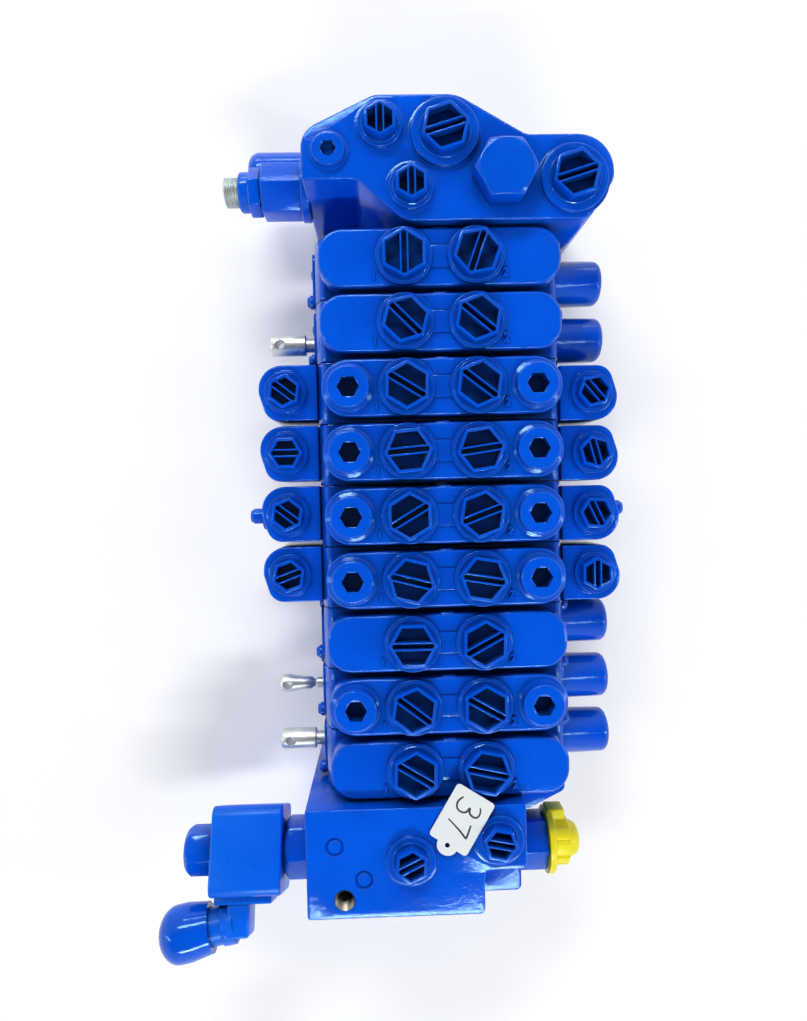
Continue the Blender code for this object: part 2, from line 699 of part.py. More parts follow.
def inlet_mesh():
    """The inlet casting with its plugs, hexagonal cap, relief valve body and damper cap, about the stack's end."""
    top = PORT_FACE_Z + INLET_RISE
    left, right, far, near = INLET_LEFT_X, INLET_RIGHT_X, INLET_DEPTH, SEAT_GAP / 2
    notch = INLET_NOTCH_DEPTH
    outline = rounded(
        [
            (*corner, radius)
            for corner, radius in zip(
                (
                    (left, notch),
                    (INLET_NOTCH_X, notch),
                    (INLET_FRONT_LEFT_X, near),
                    (INLET_FRONT_RIGHT_X, near),
                    (right, INLET_LOBE_NEAR_Y),
                    (right, INLET_LOBE_FAR_Y),
                    (INLET_LOBE_LEFT_X, INLET_LOBE_FAR_Y),
                    (INLET_BACK_RIGHT_X, far),
                    (INLET_BACK_LEFT_X, far),
                    (left, INLET_SIDE_FAR_Y),
                ),
                INLET_ROUNDS,
            )
        ],
        3,
    )
    body = softened(plate(outline, 0.0, top), INLET_EDGE, angle=50)
    flange = block((LEFT_FACE + INLET_FLANGE_INSET, 0.0), (near, notch + 0.004), (0.0, INLET_FLANGE_TOP_Z))
    add = [softened(flange, 0.001)]
    for x, y, turn in INLET_SMALL_PLUGS:
        place = at(x, y, top) @ Matrix.Rotation(radians(turn), 4, "Z")
        add.append(slot_plug(SMALL_PLUG_FLANGE, SMALL_PLUG_HEX, matrix=place, sides=ROUND_SMALL))
    for x, y, turn in INLET_LARGE_PLUGS:
        place = at(x, y, top) @ Matrix.Rotation(radians(turn), 4, "Z")
        add.append(slot_plug(LARGE_PLUG_FLANGE, LARGE_PLUG_HEX, matrix=place))
    r, h = SOCKET_PLUG_DIAMETER / 2, SOCKET_PLUG_HEIGHT
    socket = at(SOCKET_PLUG_X, SOCKET_PLUG_Y, top)
    add.append(turned([(0.0, h), (r - 0.001, h), (r, h - 0.001), (r, -0.001), (0.0, -0.001)], ROUND_SMALL, socket))
    cut = [hexagon(SOCKET_PLUG_FLATS, h - 0.005, h + 0.001, socket)]
    cap = at(HEX_CAP_X, HEX_CAP_Y, top)
    crown = softened(hexagon(HEX_CAP_FLATS, -0.001, HEX_CAP_HEIGHT, cap), HEX_CAP_EDGE, angle=70)
    add.append(crown)

    # Relief valve: boss, hexagonal body, lock nut and ring, bored for the adjusting screw
    relief = at(INLET_LEFT_X, RELIEF_Y, RELIEF_Z) @ AXIS_LEFT
    steps = [RELIEF_BOSS_LENGTH]
    for length in (RELIEF_HEX_LENGTH, RELIEF_NUT_LENGTH, RELIEF_RING_LENGTH):
        steps.append(steps[-1] + length)
    add.append(column(ROUND_SMALL, RELIEF_BOSS_DIAMETER / 2, -RELIEF_BOSS_ROOT, steps[0], relief))
    add.append(softened(hexagon(RELIEF_HEX_FLATS, steps[0] - 0.001, steps[1], relief), 0.001, angle=70))
    add.append(softened(hexagon(RELIEF_NUT_FLATS, steps[1] - 0.002, steps[2], relief), 0.001, angle=70))
    ring = RELIEF_RING_DIAMETER / 2
    add.append(
        turned(
            [
                (0.0, steps[3]),
                (ring - 0.002, steps[3]),
                (ring, steps[3] - 0.002),
                (ring, steps[2] - 0.001),
                (0.0, steps[2] - 0.001),
            ],
            ROUND_SMALL,
            relief,
        )
    )
    bore = clear_radius(RELIEF_SCREW_DIAMETER / 2, SLIDE_GAP, ROUND_SMALL)
    cut.append(column(ROUND_SMALL, bore, steps[3] - RELIEF_SCREW_ENGAGED - 0.002, steps[3] + 0.001, relief))

    # Damper cap with a round end
    damper = at(INLET_LEFT_X, DAMPER_Y, DAMPER_Z) @ AXIS_LEFT
    r, soft, tip = DAMPER_DIAMETER / 2, DAMPER_ROUND, DAMPER_LENGTH
    arc = [(r - soft + soft * sin(a), tip - soft + soft * cos(a)) for a in (0.0, pi / 6, pi / 3, pi / 2)]
    add.append(turned([(0.0, tip), *arc, (r, -DAMPER_ROOT), (0.0, -DAMPER_ROOT)], ROUND_SMALL, damper))

    cut += rod_holes(-0.001, ROD_THREAD_DEPTH + 0.001)
    return mesh_of(combined(body, add, cut), "inlet_section")


def end_mesh():
    """The end casting with its plugs and the right hand fitting, about the stack's other end."""
    top = PORT_FACE_Z + END_RISE
    near = -SEAT_GAP / 2
    main = plate(
        rounded(
            [
                (END_LEFT_X, near, 0.0),
                (END_LEFT_X, -END_DEPTH, 0.0015),
                (END_STEP_X, -END_DEPTH, END_CORNER),
                (END_STEP_X, -END_STEP_DEPTH, END_CORNER),
                (END_RIGHT_X, -END_STEP_DEPTH, END_CORNER),
                (END_RIGHT_X, near, 0.0),
            ],
            3,
        ),
        0.0,
        top,
    )
    main = softened(main, 0.0007, angle=60)
    ledge = plate(
        rounded(
            [
                (END_LEDGE_LEFT_X, -END_STEP_DEPTH / 2, 0.0),
                (END_LEDGE_LEFT_X, -END_LEDGE_DEPTH, END_CORNER),
                (END_LEDGE_X, -END_LEDGE_DEPTH, END_CORNER),
                (END_LEDGE_X, -END_STEP_DEPTH / 2, 0.0),
            ],
            3,
        ),
        0.0,
        END_LEDGE_Z,
    )
    flange = plate(
        rounded(
            [
                (0.0, near, 0.0),
                (0.0, -END_FLANGE_DEPTH, 0.0),
                (END_FLANGE_X - END_FLANGE_SLOPE[0], -END_FLANGE_DEPTH, 0.005),
                (END_FLANGE_X, -END_FLANGE_DEPTH + END_FLANGE_SLOPE[1], 0.005),
                (END_FLANGE_X, near, 0.0),
            ],
            3,
        ),
        0.0,
        END_FLANGE_Z,
    )
    add = [ledge, flange]
    for x, y, turn in END_PLUGS:
        place = at(x, y, top) @ Matrix.Rotation(radians(turn), 4, "Z")
        add.append(slot_plug(END_PLUG_FLANGE, END_PLUG_HEX, matrix=place, sides=ROUND_SMALL))
    fitting = at(END_LEDGE_X, FITTING_Y, FITTING_Z) @ AXIS_X
    add.append(softened(hexagon(FITTING_FLATS, -0.001, FITTING_LENGTH, fitting), 0.001, angle=70))
    add.append(
        column(
            ROUND_SMALL,
            FITTING_NECK_DIAMETER / 2,
            FITTING_LENGTH - 0.001,
            FITTING_LENGTH + FITTING_NECK_LENGTH,
            fitting,
        )
    )
    cut = [
        column(
            ROUND_SMALL,
            THREAD_HOLE_DIAMETER / 2,
            top - THREAD_HOLE_DEPTH,
            top + 0.001,
            at(THREAD_HOLE_X, THREAD_HOLE_Y, 0),
        ),
        column(
            ROUND_SMALL,
            VALVE_SPIGOT_DIAMETER / 2 + SEAT_GAP,
            -VALVE_SPIGOT_LENGTH - 0.001,
            0.001,
            at(END_LEFT_X, SOLENOID_Y, SOLENOID_Z) @ AXIS_LEFT,
        ),
    ]
    cut += rod_holes(-END_LEDGE_DEPTH - 0.01, 0.001)
    return mesh_of(combined(main, add, cut), "end_section")


def rod_mesh(index):
    """A tie rod with its nut at the end section, from the thread in the inlet."""
    x, z = rod_places()[index]
    seat = {0: -END_DEPTH, 1: -END_FLANGE_DEPTH, 2: -END_LEDGE_DEPTH}[index]
    start = seat - SEAT_GAP - STACK_HALF
    turn = Matrix.Rotation(radians(-90), 4, "X")
    rod = column(ROUND_HIDDEN, ROD_DIAMETER / 2, start - ROD_NUT_HEIGHT - 0.003, STACK_HALF + ROD_THREAD_DEPTH, turn)
    nut = hexagon(ROD_NUT_FLATS, start - ROD_NUT_HEIGHT, start, turn)
    return mesh_of(combined(rod, [nut]), "tie_rod"), (x, 0.0, z)


def solenoid_pieces():
    """The cartridge, its coil with the connector, the coil nut and the cap on the connector."""
    hex_end = SEAT_GAP + VALVE_HEX_LENGTH
    coil_start = hex_end + SEAT_GAP
    coil_end = coil_start + COIL_LENGTH
    nut_start = coil_end + SEAT_GAP
    tube_end = nut_start + COIL_NUT_LENGTH - COIL_NUT_WALL - SEAT_GAP
    tube = column(ROUND_SMALL, VALVE_TUBE_DIAMETER / 2, hex_end - 0.001, tube_end, AXIS_LEFT)
    wide = softened(hexagon(VALVE_HEX_FLATS, SEAT_GAP, hex_end, AXIS_LEFT), 0.0025, angle=70)
    spigot = column(ROUND_SMALL, VALVE_SPIGOT_DIAMETER / 2, -VALVE_SPIGOT_LENGTH, SEAT_GAP + 0.001, AXIS_LEFT)
    valve = mesh_of(combined(wide, [tube, spigot]), "solenoid_valve")

    # The coil's section is laid out with its broad face up, then tilted about the cartridge's axis.
    tilt = Matrix.Rotation(radians(-SOLENOID_TILT), 4, "X")
    outline = box_outline((-COIL_HEIGHT / 2, COIL_HEIGHT / 2), (-COIL_WIDTH / 2, COIL_WIDTH / 2), COIL_CORNER, 3)
    coil = softened(plate(outline, coil_start, coil_end, tilt @ AXIS_LEFT), 0.001, angle=50)
    face = -COIL_WIDTH / 2
    mid = -(coil_start + coil_end) / 2
    base = block(
        (mid + PLUG_BASE_SHIFT - PLUG_BASE_LENGTH / 2, mid + PLUG_BASE_SHIFT + PLUG_BASE_LENGTH / 2),
        (face - PLUG_BASE_HEIGHT, face + 0.001),
        (-PLUG_BASE_WIDTH / 2, PLUG_BASE_WIDTH / 2),
        tilt,
    )
    elbow_x = mid + ELBOW_SHIFT
    elbow = block(
        (elbow_x - ELBOW_LENGTH / 2, elbow_x + ELBOW_LENGTH / 2),
        (face - PLUG_BASE_HEIGHT - ELBOW_HEIGHT, face - PLUG_BASE_HEIGHT + 0.001),
        (-ELBOW_WIDTH / 2, ELBOW_WIDTH / 2),
        tilt,
    )
    neck_y = face - PLUG_BASE_HEIGHT - NECK_DROP
    neck_x = elbow_x - ELBOW_LENGTH / 2
    slope = Matrix.Rotation(radians(CABLE_CAP_SLOPE), 4, "Z")
    outlet = tilt @ at(neck_x, neck_y, 0) @ slope @ AXIS_LEFT
    neck = column(ROUND_SMALL, NECK_DIAMETER / 2, -0.005, NECK_STANDOUT + NECK_ENGAGED, outlet)
    bore = column(ROUND_SMALL, VALVE_TUBE_DIAMETER / 2 + SEAT_GAP, coil_start - 0.001, coil_end + 0.001, AXIS_LEFT)
    coil = combined(coil, [softened(base, 0.0008), softened(elbow, 0.0015), neck], [bore])

    nut = softened(hexagon(COIL_NUT_FLATS, nut_start, nut_start + COIL_NUT_LENGTH, AXIS_LEFT), 0.002, angle=70)
    inner = column(ROUND_SMALL, VALVE_TUBE_DIAMETER / 2 + SEAT_GAP, nut_start - 0.001, tube_end + SEAT_GAP, AXIS_LEFT)
    nut = combined(nut, cut=[inner])

    rim, wide = CABLE_CAP_RIM / 2, CABLE_CAP_DIAMETER / 2
    low = NECK_STANDOUT
    high = low + CABLE_CAP_LENGTH
    dome = [
        (wide * sin(a), high - 0.55 * wide + 0.55 * wide * cos(a)) for a in (0.0, pi / 8, pi / 4, 3 * pi / 8, pi / 2)
    ]
    inside = NECK_DIAMETER / 2 + SEAT_GAP
    cap = turned([*dome, (wide, low + 0.014), (rim, low), (0.0, low)], ROUND_LARGE, outlet)
    hollow = column(ROUND_SMALL, inside, low - 0.001, NECK_STANDOUT + NECK_ENGAGED + SEAT_GAP, outlet)
    cap = combined(cap, cut=[hollow])
    return valve, mesh_of(coil, "coil"), mesh_of(nut, "coil_nut"), mesh_of(cap, "cable_cap")


def dust_cap_mesh():
    """The yellow push-on cap with its wide flange, grip body, lug and round end."""
    start = SEAT_GAP
    flange, body, dome = DUST_CAP_FLANGE / 2, DUST_CAP_BODY / 2, DUST_CAP_DOME / 2
    mid = start + DUST_CAP_FLANGE_THICKNESS
    end = mid + DUST_CAP_BODY_LENGTH
    tip = end + DUST_CAP_DOME_LENGTH
    profile = [(0.0, tip), (dome * 0.62, tip - 0.0012), (dome * 0.9, tip - 0.0038), (dome, end)]
    profile += [(body - 0.0015, end), (body, end - 0.0015), (body, mid)]
    profile += [(flange - 0.001, mid), (flange, mid - 0.001), (flange, start), (0.0, start)]
    cap = turned(profile, ROUND_LARGE, AXIS_X)
    lug = block((start + 0.0006, end - 0.002), (body - 0.004, flange + 0.0012), (-0.007, 0.007))
    hollow = column(
        ROUND_SMALL,
        FITTING_NECK_DIAMETER / 2 + SEAT_GAP,
        -0.001,
        FITTING_NECK_LENGTH + SEAT_GAP,
        AXIS_X,
    )
    return mesh_of(combined(cap, [softened(lug, 0.001)], [hollow]), "dust_cap")


# Castings
casting = (BLUE, 0.28, 0.0)
section_y = {n: ((SECTIONS + 1) / 2 - n) * PITCH for n in range(1, SECTIONS + 1)}
castings = {}
for n, y in section_y.items():
    cover = "open" if n in EYE_SECTIONS + TAB_SECTIONS else "blind" if n in SPRING_SECTIONS else ""
    key = (n in HEADED_SECTIONS, cover)
    if key not in castings:
        castings[key] = section_mesh(*key)
    piece("section_%d" % n, castings[key], casting, (0.0, y, 0.0))
piece("inlet_section", inlet_mesh(), casting, (0.0, STACK_HALF, 0.0))
piece("end_section", end_mesh(), casting, (0.0, -STACK_HALF, 0.0))

# Port plugs
plug = mesh_of(slot_plug(PLUG_FLANGE_DIAMETER, PLUG_HEX_FLATS, PLUG_SPIGOT_DIAMETER), "port_plug")
for n, y in section_y.items():
    for letter, sign, turn in (("a", -1, PLUG_TURNS[n - 1][0]), ("b", 1, PLUG_TURNS[n - 1][1])):
        piece("port_plug_%s%d" % (letter, n), plug, casting, (sign * PORT_SPACING / 2, y, PORT_FACE_Z), turn)

# Spools
spools = {}
for n, y in section_y.items():
    kind = "pilot" if n in PILOT_SECTIONS else "eye" if n in EYE_SECTIONS else "tab" if n in TAB_SECTIONS else "blind"
    if kind not in spools:
        spools[kind] = spool_mesh(kind)
    piece("spool_%d" % n, spools[kind], (ZINC, 0.3, 1.0), (0.0, y, SPOOL_Z))

# Caps
cap = spring_cap_mesh()
for n in SPRING_SECTIONS:
    piece("spring_cap_%d" % n, cap, casting, (0.0, section_y[n], 0.0))
for n in PILOT_SECTIONS:
    for side, word in ((-1, "left"), (1, "right")):
        face = LEFT_FACE if side < 0 else RIGHT_FACE
        piece("pilot_cap_%s_%d" % (word, n), pilot_cap(n, side), casting, (face, section_y[n], 0.0))

# Tie rods
for index in range(3):
    mesh, place = rod_mesh(index)
    piece("tie_rod_%d" % (index + 1), mesh, (ZINC, 0.4, 1.0), place)

# Solenoid valve
axis = (END_LEFT_X, -STACK_HALF + SOLENOID_Y, SOLENOID_Z)
for name, mesh in zip(("solenoid_valve", "solenoid_coil", "coil_nut", "connector_cap"), solenoid_pieces()):
    piece(name, mesh, casting, axis)

# Relief adjusting screw, about its own axis
engaged = RELIEF_SCREW_ENGAGED
reach = RELIEF_BOSS_LENGTH + RELIEF_HEX_LENGTH + RELIEF_NUT_LENGTH + RELIEF_RING_LENGTH
r = RELIEF_SCREW_DIAMETER / 2
stud = turned(
    [
        (0.0, RELIEF_SCREW_STANDOUT),
        (r - 0.001, RELIEF_SCREW_STANDOUT),
        (r, RELIEF_SCREW_STANDOUT - 0.001),
        (r, -engaged),
        (0.0, -engaged),
    ],
    ROUND_SMALL,
    AXIS_LEFT,
)
key = hexagon(
    RELIEF_SOCKET_FLATS, RELIEF_SCREW_STANDOUT - RELIEF_SOCKET_DEPTH, RELIEF_SCREW_STANDOUT + 0.001, AXIS_LEFT
)
piece(
    "relief_adjusting_screw",
    mesh_of(combined(stud, cut=[key]), "relief_adjusting_screw"),
    (ZINC, 0.35, 1.0),
    (INLET_LEFT_X - reach, STACK_HALF + RELIEF_Y, RELIEF_Z),
)

# Yellow cap on the right hand fitting
piece(
    "dust_cap",
    dust_cap_mesh(),
    (YELLOW, 0.4, 0.0),
    (END_LEDGE_X + FITTING_LENGTH, -STACK_HALF + FITTING_Y, FITTING_Z),
)

# The origin goes under the middle of everything.
bpy.context.view_layer.update()
corners = [obj.matrix_world @ Vector(corner) for obj in placed for corner in obj.bound_box]
root.location.x = -(min(c.x for c in corners) + max(c.x for c in corners)) / 2
root.location.y = -(min(c.y for c in corners) + max(c.y for c in corners)) / 2
bpy.context.view_layer.update()
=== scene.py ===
"""Looks of the hydraulic directional valve, in metres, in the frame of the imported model."""

from math import atan2, cos, pi, radians, sin, tan

import bmesh
import bpy
from mathutils import Matrix, Vector


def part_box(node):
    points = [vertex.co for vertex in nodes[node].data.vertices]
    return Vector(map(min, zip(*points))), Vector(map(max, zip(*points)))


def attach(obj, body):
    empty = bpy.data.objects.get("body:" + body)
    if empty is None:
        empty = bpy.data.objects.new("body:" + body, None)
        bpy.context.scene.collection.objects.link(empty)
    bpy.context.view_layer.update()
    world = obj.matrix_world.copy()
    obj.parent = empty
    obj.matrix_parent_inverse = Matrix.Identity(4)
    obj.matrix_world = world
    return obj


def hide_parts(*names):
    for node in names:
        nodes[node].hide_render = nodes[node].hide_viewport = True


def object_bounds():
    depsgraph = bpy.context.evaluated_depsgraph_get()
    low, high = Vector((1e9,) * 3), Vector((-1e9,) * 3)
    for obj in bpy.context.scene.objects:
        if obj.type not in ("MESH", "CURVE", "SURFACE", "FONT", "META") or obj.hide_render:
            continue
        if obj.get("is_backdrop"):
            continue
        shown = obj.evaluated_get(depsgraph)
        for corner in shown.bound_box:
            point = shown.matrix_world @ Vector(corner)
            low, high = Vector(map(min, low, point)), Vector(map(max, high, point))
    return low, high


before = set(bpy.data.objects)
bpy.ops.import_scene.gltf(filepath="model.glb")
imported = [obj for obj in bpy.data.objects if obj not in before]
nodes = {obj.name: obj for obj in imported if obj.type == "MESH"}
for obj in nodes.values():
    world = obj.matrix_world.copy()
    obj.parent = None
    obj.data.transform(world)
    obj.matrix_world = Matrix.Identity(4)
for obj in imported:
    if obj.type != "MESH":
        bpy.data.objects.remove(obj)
scene = bpy.context.scene
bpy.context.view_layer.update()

BODY = "valve"
SECTION_NUMBERS = range(1, 10)
PILOT_SECTIONS = (3, 4, 5, 6)
HEADED_SECTIONS = (3, 4, 5, 6, 8)
EYE_SECTIONS = (2, 9)
TAB_SECTION = 8
COVERED = (1, 2, 7, 8, 9)

PORT_FACE_Z = 0.125
SPOOL_Z = 0.058
SEAT_GAP = 0.0003
# How far a fused form reaches into its casting, and a cutter past what it cuts
SUNK = 0.001
MERGE_DISTANCE = 1e-6
PORT_SPACING = 0.0446
BODY_WIDTH = 0.160
LEFT_FACE, RIGHT_FACE = -BODY_WIDTH / 2, BODY_WIDTH / 2

# The stack's own frame: X = 0 is the middle of the sections, Y = 0 the middle of section 5
low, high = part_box("section_5")
STACK_Y = (low.y + high.y) / 2
low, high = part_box("tie_rod_3")
STACK_X = (low.x + high.x) / 2
PITCH = 0.040
STACK_HALF = 4.5 * PITCH
STACK = Matrix.Translation((STACK_X, STACK_Y, 0))
section_y = {n: (5 - n) * PITCH for n in SECTION_NUMBERS}

work = bpy.data.collections.new("work")
pieces = bpy.data.collections.new("pieces")
scene.collection.children.link(work)
scene.collection.children.link(pieces)


# Shapes
def helper(name, data, matrix=None):
    obj = bpy.data.objects.new(name, data)
    work.objects.link(obj)
    if matrix is not None:
        obj.matrix_world = matrix
    return obj


def fixed(obj):
    """The object with its modifiers and place worked into its mesh."""
    bpy.context.view_layer.update()
    graph = bpy.context.evaluated_depsgraph_get()
    mesh = bpy.data.meshes.new_from_object(obj.evaluated_get(graph))
    mesh.transform(obj.matrix_world)
    shape = bmesh.new()
    shape.from_mesh(mesh)
    bmesh.ops.remove_doubles(shape, verts=shape.verts, dist=MERGE_DISTANCE)
    shape.to_mesh(mesh)
    shape.free()
    bpy.data.objects.remove(obj, do_unlink=True)
    return helper(mesh.name, mesh)


# These turn local Z to the stack's right and left side
AXIS_X = Matrix(((0, 0, 1), (0, 1, 0), (-1, 0, 0))).to_4x4()
AXIS_LEFT = Matrix(((0, 0, -1), (0, -1, 0), (-1, 0, 0))).to_4x4()


def at(x=0.0, y=0.0, z=0.0):
    return Matrix.Translation(Vector((x, y, z)))


def spin(degrees, axis="Z"):
    return Matrix.Rotation(radians(degrees), 4, axis)


def column(sides, radius, low, high, matrix=None, top_radius=None):
    shape = bmesh.new()
    bmesh.ops.create_cone(
        shape,
        cap_ends=True,
        segments=sides,
        radius1=radius,
        radius2=radius if top_radius is None else top_radius,
        depth=high - low,
        matrix=at(z=(low + high) / 2),
    )
    mesh = bpy.data.meshes.new("column")
    shape.to_mesh(mesh)
    shape.free()
    return helper("column", mesh, matrix)


def hexagon(flats, low, high, matrix=None, edge=0.0, segments=2):
    """A hexagonal prism whose flats face local X, with its edges rounded."""
    obj = column(6, flats / 2 / cos(pi / 6), low, high, (matrix or Matrix()) @ spin(30))
    return softened(obj, edge, segments, 20) if edge else obj


def block(x, y, z, matrix=None, edge=0.0, segments=2):
    shape = bmesh.new()
    bmesh.ops.create_cube(
        shape,
        size=1.0,
        matrix=at((x[0] + x[1]) / 2, (y[0] + y[1]) / 2, (z[0] + z[1]) / 2)
        @ Matrix.Diagonal((x[1] - x[0], y[1] - y[0], z[1] - z[0], 1.0)),
    )
    mesh = bpy.data.meshes.new("block")
    shape.to_mesh(mesh)
    shape.free()
    obj = helper("block", mesh, matrix)
    return softened(obj, edge, segments) if edge else obj


def rounded(corners, steps=8):
    """The corners (x, y, radius) of an outline with each one replaced by an arc."""
    points = []
    count = len(corners)
    for i, (x, y, radius) in enumerate(corners):
        here = Vector((x, y))
        before = (Vector(corners[i - 1][:2]) - here).normalized()
        after = (Vector(corners[(i + 1) % count][:2]) - here).normalized()
        half = before.angle(after) / 2
        if radius <= 0 or half > radians(89):
            points.append((x, y))
            continue
        centre = here + (before + after).normalized() * (radius / sin(half))
        first = here + before * (radius / tan(half)) - centre
        last = here + after * (radius / tan(half)) - centre
        start = atan2(first.y, first.x)
        sweep = (atan2(last.y, last.x) - start + pi) % (2 * pi) - pi
        for k in range(steps + 1):
            angle = start + sweep * k / steps
            points.append((centre.x + radius * cos(angle), centre.y + radius * sin(angle)))
    return points


def plate(points, low, high, matrix=None, edge=0.0, segments=3, angle=50):
    """A flat outline in local XY with a thickness along local Z and rounded rims."""
    if sum(points[i - 1][0] * y - x * points[i - 1][1] for i, (x, y) in enumerate(points)) < 0:
        points = points[::-1]
    shape = bmesh.new()
    floor = [shape.verts.new((x, y, low)) for x, y in points]
    roof = [shape.verts.new((x, y, high)) for x, y in points]
    shape.faces.new(floor[::-1])
    shape.faces.new(roof)
    for i in range(len(points)):
        j = (i + 1) % len(points)
        shape.faces.new((floor[i], floor[j], roof[j], roof[i]))
    mesh = bpy.data.meshes.new("plate")
    shape.to_mesh(mesh)
    shape.free()
    obj = helper("plate", mesh, matrix)
    return softened(obj, edge, segments, angle) if edge else obj


def box_outline(x, y, radius, steps=8):
    return rounded(
        [(x[0], y[0], radius), (x[1], y[0], radius), (x[1], y[1], radius), (x[0], y[1], radius)], steps
    )


def turned(profile, sides=48, matrix=None, rise=0.0, turns=1):
    """A profile of (radius, height), from the top down its outer side, turned about local Z."""
    mesh = bpy.data.meshes.new("profile")
    mesh.from_pydata([(r, 0.0, z) for r, z in profile], [(i, i + 1) for i in range(len(profile) - 1)], [])
    obj = helper("turned", mesh, matrix)
    screw = obj.modifiers.new("turn", "SCREW")
    screw.steps = screw.render_steps = sides
    screw.screw_offset = rise
    screw.iterations = turns
    screw.use_merge_vertices = True
    screw.merge_threshold = MERGE_DISTANCE
    return fixed(obj)


def fillet(radius, height, soft, steps=4):
    """Profile points of a rounded upper rim, from the top face to the side."""
    return [
        (radius - soft + soft * sin(k * pi / 2 / steps), height - soft + soft * cos(k * pi / 2 / steps))
        for k in range(steps + 1)
    ]


def spot_face(radius, height, sides, matrix):
    """The low round step that a plug stands on."""
    profile = [(0.0, height), *fillet(radius, height, 0.0004, 2), (radius, -SUNK), (0.0, -SUNK)]
    return turned(profile, sides, matrix)


def softened(obj, width, segments=2, angle=40):
    bevel = obj.modifiers.new("edges", "BEVEL")
    bevel.width = width
    bevel.segments = segments
    bevel.limit_method = "ANGLE"
    bevel.angle_limit = radians(angle)
    return fixed(obj)


def chamfered(prism, profile, matrix=None, edge=0.0008):
    """A hexagonal prism whose corners are cut back to a turned profile, with rounded edges."""
    limit = turned(profile, 64, matrix)
    boolean = prism.modifiers.new("corners", "BOOLEAN")
    boolean.object = limit
    boolean.operation = "INTERSECT"
    cut_back = fixed(prism)
    bpy.data.objects.remove(limit, do_unlink=True)
    return softened(cut_back, edge, 2, 25)


def combined(base, add=(), cut=()):
    for kind, shapes in (("UNION", add), ("DIFFERENCE", cut)):
        for shape in shapes:
            boolean = base.modifiers.new(kind.lower(), "BOOLEAN")
            boolean.operation = kind
            boolean.solver = "EXACT"
            boolean.object = shape
    result = fixed(base)
    for shape in [*add, *cut]:
        bpy.data.objects.remove(shape, do_unlink=True)
    return result


def joined(shapes):
    """Several closed shapes as one mesh."""
    shape = bmesh.new()
    for obj in shapes:
        mesh = obj.data.copy()
        mesh.transform(obj.matrix_world)
        shape.from_mesh(mesh)
        bpy.data.objects.remove(obj, do_unlink=True)
    mesh = bpy.data.meshes.new("joined")
    shape.to_mesh(mesh)
    shape.free()
    return helper("joined", mesh)


def mesh_of(shape, name, smooth=34):
    mesh = shape.data
    mesh.name = name
    mesh.shade_smooth()
    mesh.set_sharp_from_angle(angle=radians(smooth))
    bpy.data.objects.remove(shape, do_unlink=True)
    return mesh


# Materials
def shader_of(name):
    material = bpy.data.materials.new(name)
    material.use_nodes = True
    tree = material.node_tree
    return material, tree, tree.nodes["Principled BSDF"]


def noise_of(tree, scale, detail=3.0, roughness=0.5):
    place = tree.nodes.new("ShaderNodeTexCoord")
    noise = tree.nodes.new("ShaderNodeTexNoise")
    noise.inputs["Scale"].default_value = scale
    noise.inputs["Detail"].default_value = detail
    noise.inputs["Roughness"].default_value = roughness
    tree.links.new(place.outputs["Object"], noise.inputs["Vector"])
    return noise


def ramp_of(tree, source, stops):
    ramp = tree.nodes.new("ShaderNodeValToRGB")
    while len(ramp.color_ramp.elements) < len(stops):
        ramp.color_ramp.elements.new(0.5)
    for element, (position, colour) in zip(ramp.color_ramp.elements, stops):
        element.position = position
        element.color = (*colour, 1.0) if len(colour) == 3 else (colour[0],) * 3 + (1.0,)
    tree.links.new(source, ramp.inputs["Fac"])
    return ramp


def bump_of(tree, source, distance, strength=1.0, before=None):
    bump = tree.nodes.new("ShaderNodeBump")
    bump.inputs["Distance"].default_value = distance
    bump.inputs["Strength"].default_value = strength
    tree.links.new(source, bump.inputs["Height"])
    if before is not None:
        tree.links.new(before.outputs["Normal"], bump.inputs["Normal"])
    return bump


